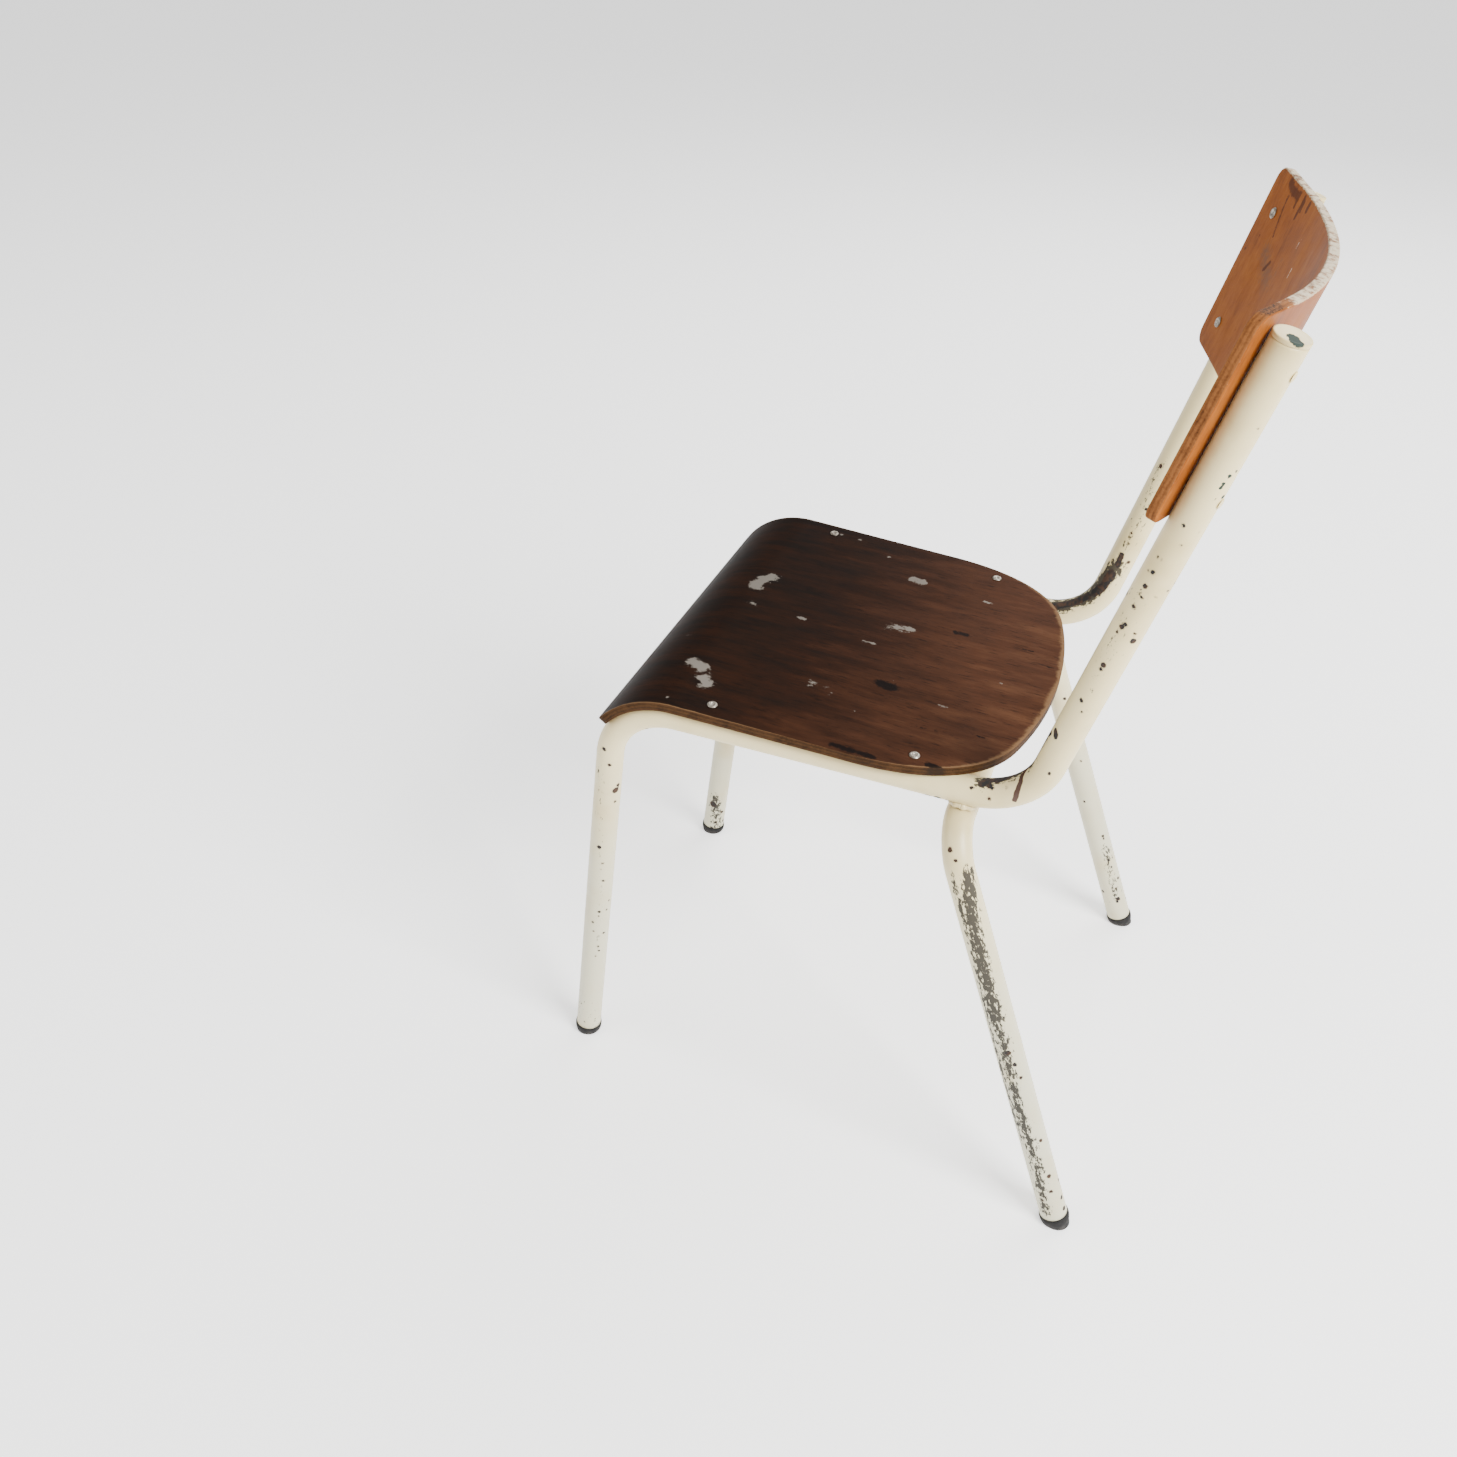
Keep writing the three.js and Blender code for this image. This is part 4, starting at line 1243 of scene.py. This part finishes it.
# ------------------------------------------------------------------------------ back
@dataclass
class BackBoard:
    """The moulded back, hollow towards the sitter, its ends running out straight."""

    sizes: ChairSizes
    finishes: Finishes
    half_width: float = 0.193
    bottom: float = 0.287
    height: float = 0.155
    radius: float = 0.430
    end_degrees: float = 19.5
    corner: float = 0.012
    top_edge: float = 0.003
    columns: int = 190
    rows: int = 74

    @property
    def end(self) -> float:
        """The angle where the bend runs out."""
        return math.radians(self.end_degrees)

    @property
    def half_laid(self) -> float:
        """Half the front face's width when laid flat."""
        straight = (self.half_width - self.radius * math.sin(self.end)) / math.cos(self.end)
        return self.radius * self.end + straight

    def bent(self, across: float, up: float, depth: float) -> Vector:
        """Where a place on the flat layout lies on the moulded board.

        Args:
            across: Along the front face from its middle.
            up: Up the uprights from their rear corner.
            depth: Back from the front face.

        Returns:
            The place in the frame.
        """
        s = self.sizes
        outer = self.radius + s.ply
        mid = s.upright_half(self.bottom + self.height / 2)
        contact = s.tube_radius + s.fit
        centre = (contact + outer - mid * math.sin(self.end)) / math.cos(self.end)
        angle = min(abs(across) / self.radius, self.end)
        run = max(0.0, abs(across) - self.radius * self.end)
        reach = self.radius + depth
        x = reach * math.sin(angle) + run * math.cos(self.end)
        ahead = centre - reach * math.cos(angle) + run * math.sin(self.end)
        return s.back_place(math.copysign(x, across) * s.upright_half(up) / mid, up, ahead)

    def marks(self) -> dict[str, list[Mark]]:
        """Drips, a thin dark line down the near end, rubbed and chalky places, across the front face and
        up from the rear corner.
        """
        stain = [
            Mark(((-167, 437), (-158, 434), (-145, 434)), 5.5, 6.5, 0.85),
            Mark(((-160, 427), (-158, 417), (-155, 408), (-151, 398)), 1.8, 2, 0.9),
            Mark(((-141, 438), (-141, 426)), 1.8, 2, 0.9), Mark(((-130, 438), (-130, 421)), 2.0, 2),
            Mark(((-127, 436), (-126, 428)), 1.6, 2), Mark(((-115, 438), (-115, 432)), 2.4, 2),
            Mark(((-131, 353), (-133, 342), (-132, 320), (-131, 297), (-133, 285)), 0.7, 1.6, 0.9),
            Mark(((-138, 375), (-133, 383)), 2.8, 4, 0.9),
            *spots(2, (-176, 389, 1.6), (-190, 372, 1.8), (-112, 348, 1.2), (-93, 367, 1.0)),
            # The last mark here is a thin dark line down the near end of the front face.
            Mark(((166, 443), (186, 443)), 3.0, 12, 0.9), Mark(((196, 432), (200, 330)), 1.2, 3, 0.55),
        ]
        grey = [
            Mark(((-150, 385), (-137, 377), (-122, 372)), 10, 13, 0.8),
            Mark(((-113, 391), (-110, 369)), 5, 7, 0.6), Mark(((20, 380), (50, 384)), 16, 16, 0.45),
        ]
        chalk = [
            Mark(((-96, 409), (-95, 417)), 1.0, 1.6), Mark(((-87, 411), (-87, 416)), 0.8, 1.5),
            Mark(((-82, 390), (-82, 398)), 0.9, 1.5), Mark(((184, 428), (190, 420)), 4, 4, 0.75),
            Mark(((20, 346), (21, 354)), 1.0, 1.5, 0.8),
        ]
        return {"stain": stain, "grey": grey, "chalk": chalk}

    def build(self) -> None:
        """Makes the back: a grid laid out flat, thickened, then bent."""
        bm = new_mesh()
        bmesh.ops.create_grid(bm, x_segments=self.columns, y_segments=self.rows, size=1.0)
        layers = bm.verts.layers
        lie, rim, rub = layers.float_vector["lie"], layers.float["rim"], layers.float["rub"]
        half, tall = self.half_laid, self.height / 2
        for vert in bm.verts:
            x, y = vert.co.x * half, vert.co.y * tall
            over_x, over_y = drawn_in(
                abs(x) - (half - self.corner), abs(y) - (tall - self.corner)
            )
            x = math.copysign(half - self.corner + over_x, x)
            y = math.copysign(tall - self.corner + over_y, y)
            inset = min(half - abs(vert.co.x) * half, tall - abs(vert.co.y) * tall)
            top = tall - vert.co.y * tall
            vert[lie] = (x, self.bottom + tall + y, 0)
            kept_pale = min(1.0, max(0.0, (0.168 - x) / 0.03))
            vert[rim] = (0.35 + 0.55 * kept_pale) * math.exp(-top / 0.0022)
            vert[rim] = max(vert[rim], 0.4 * math.exp(-inset / 0.002))
            vert[rub] = 0.22 + 0.5 * kept_pale if top < 0.004 else 0.06
        marks = self.marks()
        for name, laid in marks.items():
            paint(bm, name, laid, laid_flat=True)
        # Below the top edge, the marks are on the front face alone.
        for vert in mould(bm, self.sizes.ply, self.bent, 0):
            if vert[lie].y < self.bottom + self.height - self.top_edge:
                for name in marks:
                    vert[layers.float[name]] = 0.0
        f = self.finishes
        piece = finish_piece(
            bm, "moulded_back", Finish.BACK_PLY, [f.back_face, f.back_edge], ("back_board",)
        )
        soften(piece, 1.2, 3)


# ------------------------------------------------------------------------------ rivets and feet
@dataclass
class Rivets:
    """The eight rivets that hold the boards to the tubes."""

    sizes: ChairSizes
    finishes: Finishes
    seat_stations: tuple[float, float] = (0.089, 0.263)
    back_stations: tuple[float, float] = (0.314, 0.410)
    end_degrees: float = 19.5

    def build_one(self, name: str, node: str, place: Vector, facing: Vector) -> None:
        """Makes a rivet: a dimpled head on the board, a shank, and a clinched tail."""
        face = (self.sizes.tube_radius + self.sizes.fit + self.sizes.ply) / MM
        back = -(self.sizes.tube_radius + self.sizes.fit) / MM
        section = [
            (0, back - 0.5), (2.4, back - 0.5), (3.4, back - 0.35), (3.9, back - 0.1), (3.9, back),
            (2.5, back), (2.5, face), (4.5, face + 0.05), (4.6, face + 0.35), (4.4, face + 0.8),
            (3.8, face + 1.3), (3.1, face + 1.5), (2.4, face + 1.45), (1.9, face + 1.1),
            (1.6, face + 0.5), (0.8, face + 0.3), (0, face + 0.25),
        ]
        bm = new_mesh()
        turned(bm, section, 32, standing(place, facing))
        for facet in bm.faces:
            # The tail was painted over with the tube.
            facet.material_index = int((facet.calc_center_median() - place).dot(facing) < 0)
        steel, enamel = self.finishes.steel, self.finishes.enamel
        finish_piece(bm, name, Finish.RIVET_STEEL, [steel, enamel], (node,))

    def build(self) -> None:
        """Makes all eight."""
        s, end = self.sizes, math.radians(self.end_degrees)
        for side in Side:
            x = side.value
            for word, along in zip(("front", "rear"), self.seat_stations):
                place = s.seat_place(x * s.rail_half(along), along, 0)
                self.build_one(
                    f"seat_rivet_head_{word}_{side.word}", f"seat_rivet_{word}_{side.word}",
                    place, s.rail_normal,
                )
            facing = Vector((-x * math.sin(end), 0, 0)) + s.forward * math.cos(end)
            for word, up in zip(("lower", "upper"), self.back_stations):
                place = s.back_place(x * s.upright_half(up), up, 0)
                self.build_one(
                    f"back_rivet_head_{word}_{side.word}", f"back_rivet_{word}_{side.word}",
                    place, facing,
                )


@dataclass
class Feet:
    """The four rubber feet, plugged into the legs and cut level with the floor."""

    frame: TubeFrame
    finishes: Finishes

    def build_one(self, name: str, node: str, foot: Vector, above: Vector) -> None:
        """Makes a foot on the line of its leg."""
        bm = new_mesh()
        section = [
            (0, -9), (11.6, -9), (12.2, 0.5), (13.0, 2.6), (13.4, 4.6), (13.5, 7.6), (13.3, 9.2),
            (12.8, 9.9), (12.2, 10.1), (10.6, 10.2), (10.6, 20), (0, 20),
        ]
        turned(bm, section, 40, standing(foot, (above - foot).normalized()))
        cut = bmesh.ops.bisect_plane(
            bm, geom=[*bm.verts, *bm.edges, *bm.faces], plane_co=(0, 0, 0), plane_no=(0, 0, -1),
            clear_outer=True,
        )["geom_cut"]
        bmesh.ops.contextual_create(bm, geom=[e for e in cut if isinstance(e, bmesh.types.BMEdge)])
        bmesh.ops.recalc_face_normals(bm, faces=bm.faces)
        piece = finish_piece(bm, name, Finish.RUBBER, [self.finishes.rubber], (node,))
        soften(piece, 0.7)

    def build(self) -> None:
        """Makes all four."""
        for side in Side:
            foot, front, _, _ = self.frame.side_corners(side)
            self.build_one(
                f"rubber_foot_front_{side.word}", f"foot_plug_front_{side.word}", foot, front
            )
            foot, bar = self.frame.hoop_corners(side)
            self.build_one(f"rubber_foot_rear_{side.word}", f"foot_plug_rear_{side.word}", foot, bar)


# ------------------------------------------------------------------------------ studio
@dataclass(frozen=True)
class Studio:
    """Pale floor, soft lights and the camera."""

    camera_place: tuple[float, float, float] = (1.0082, 0.2276, 1.10635)
    camera_back: tuple[float, float, float] = (0.78371, 0.33363, 0.52392)
    roll: float = -0.272
    lens: float = 32.713
    shift: tuple[float, float] = (0.01639, -0.08078)
    floor_tone: str = "#F4F4F3"
    glow_tone: str = "#FFFFFF"
    floor_glow: float = 0.9
    sky_strength: float = 0.68
    aim: tuple[float, float, float] = (0, 0, 0.45)
    # Name, place, size in metres and watts.
    lights: tuple = (
        ("key_light", (1.3, 2.8, 2.6), 1.8, 370),
        ("fill_light", (1.8, -2.6, 2.4), 2.6, 60),
        ("far_light", (-2.6, 0.6, 2.6), 2.4, 90),
    )

    def build_floor(self) -> None:
        """A wide plain floor."""
        bm = bmesh.new()
        bmesh.ops.create_grid(bm, x_segments=1, y_segments=1, size=12)
        mesh = bpy.data.meshes.new("studio_floor")
        bm.to_mesh(mesh)
        bm.free()
        sh = Shader("pale_floor")
        mesh.materials.append(sh.surface_is(
            Base_Color=self.floor_tone, Roughness=0.9,
            Emission_Color=self.glow_tone, Emission_Strength=self.floor_glow,
        ))
        floor = bpy.data.objects.new("studio_floor", mesh)
        bpy.context.scene.collection.objects.link(floor)

    def add_light(self, name: str, place: tuple, size: float, watts: float) -> None:
        """A square area light aimed at the seat."""
        light = bpy.data.lights.new(name, "AREA")
        light.shape, light.size, light.energy = "SQUARE", size, watts
        lamp = bpy.data.objects.new(name, light)
        lamp.location = place
        away = Vector(place) - Vector(self.aim)
        lamp.rotation_euler = away.to_track_quat("Z", "Y").to_euler()
        bpy.context.scene.collection.objects.link(lamp)

    def build_camera(self) -> None:
        """The camera, looking down at the chair's left side."""
        data = bpy.data.cameras.new("studio_camera")
        data.sensor_width, data.lens = 36.0, self.lens
        data.shift_x, data.shift_y = self.shift
        camera = bpy.data.objects.new("studio_camera", data)
        aimed = Vector(self.camera_back).to_track_quat("Z", "Y")
        tilted = aimed @ Quaternion((0, 0, 1), math.radians(self.roll))
        camera.location = self.camera_place
        camera.rotation_euler = tilted.to_euler()
        bpy.context.scene.collection.objects.link(camera)
        bpy.context.scene.camera = camera

    def build(self) -> None:
        """Sets the whole stage."""
        self.build_floor()
        for light in self.lights:
            self.add_light(*light)
        world = bpy.data.worlds.new("studio_world")
        world.use_nodes = True
        sky = world.node_tree.nodes["Background"].inputs
        sky["Color"].default_value = linear(self.glow_tone)
        sky["Strength"].default_value = self.sky_strength
        bpy.context.scene.world = world
        self.build_camera()


def main() -> None:
    """Builds the chair and its stage."""
    logging.basicConfig(level=logging.INFO, format="%(name)s %(message)s")
    sizes, finishes = ChairSizes(), Finishes()
    tube_frame = TubeFrame(sizes, finishes)
    tube_frame.build()
    SeatBoard(sizes, finishes).build()
    BackBoard(sizes, finishes).build()
    Rivets(sizes, finishes).build()
    Feet(tube_frame, finishes).build()
    Studio().build()


if __name__ == "__main__":
    main()
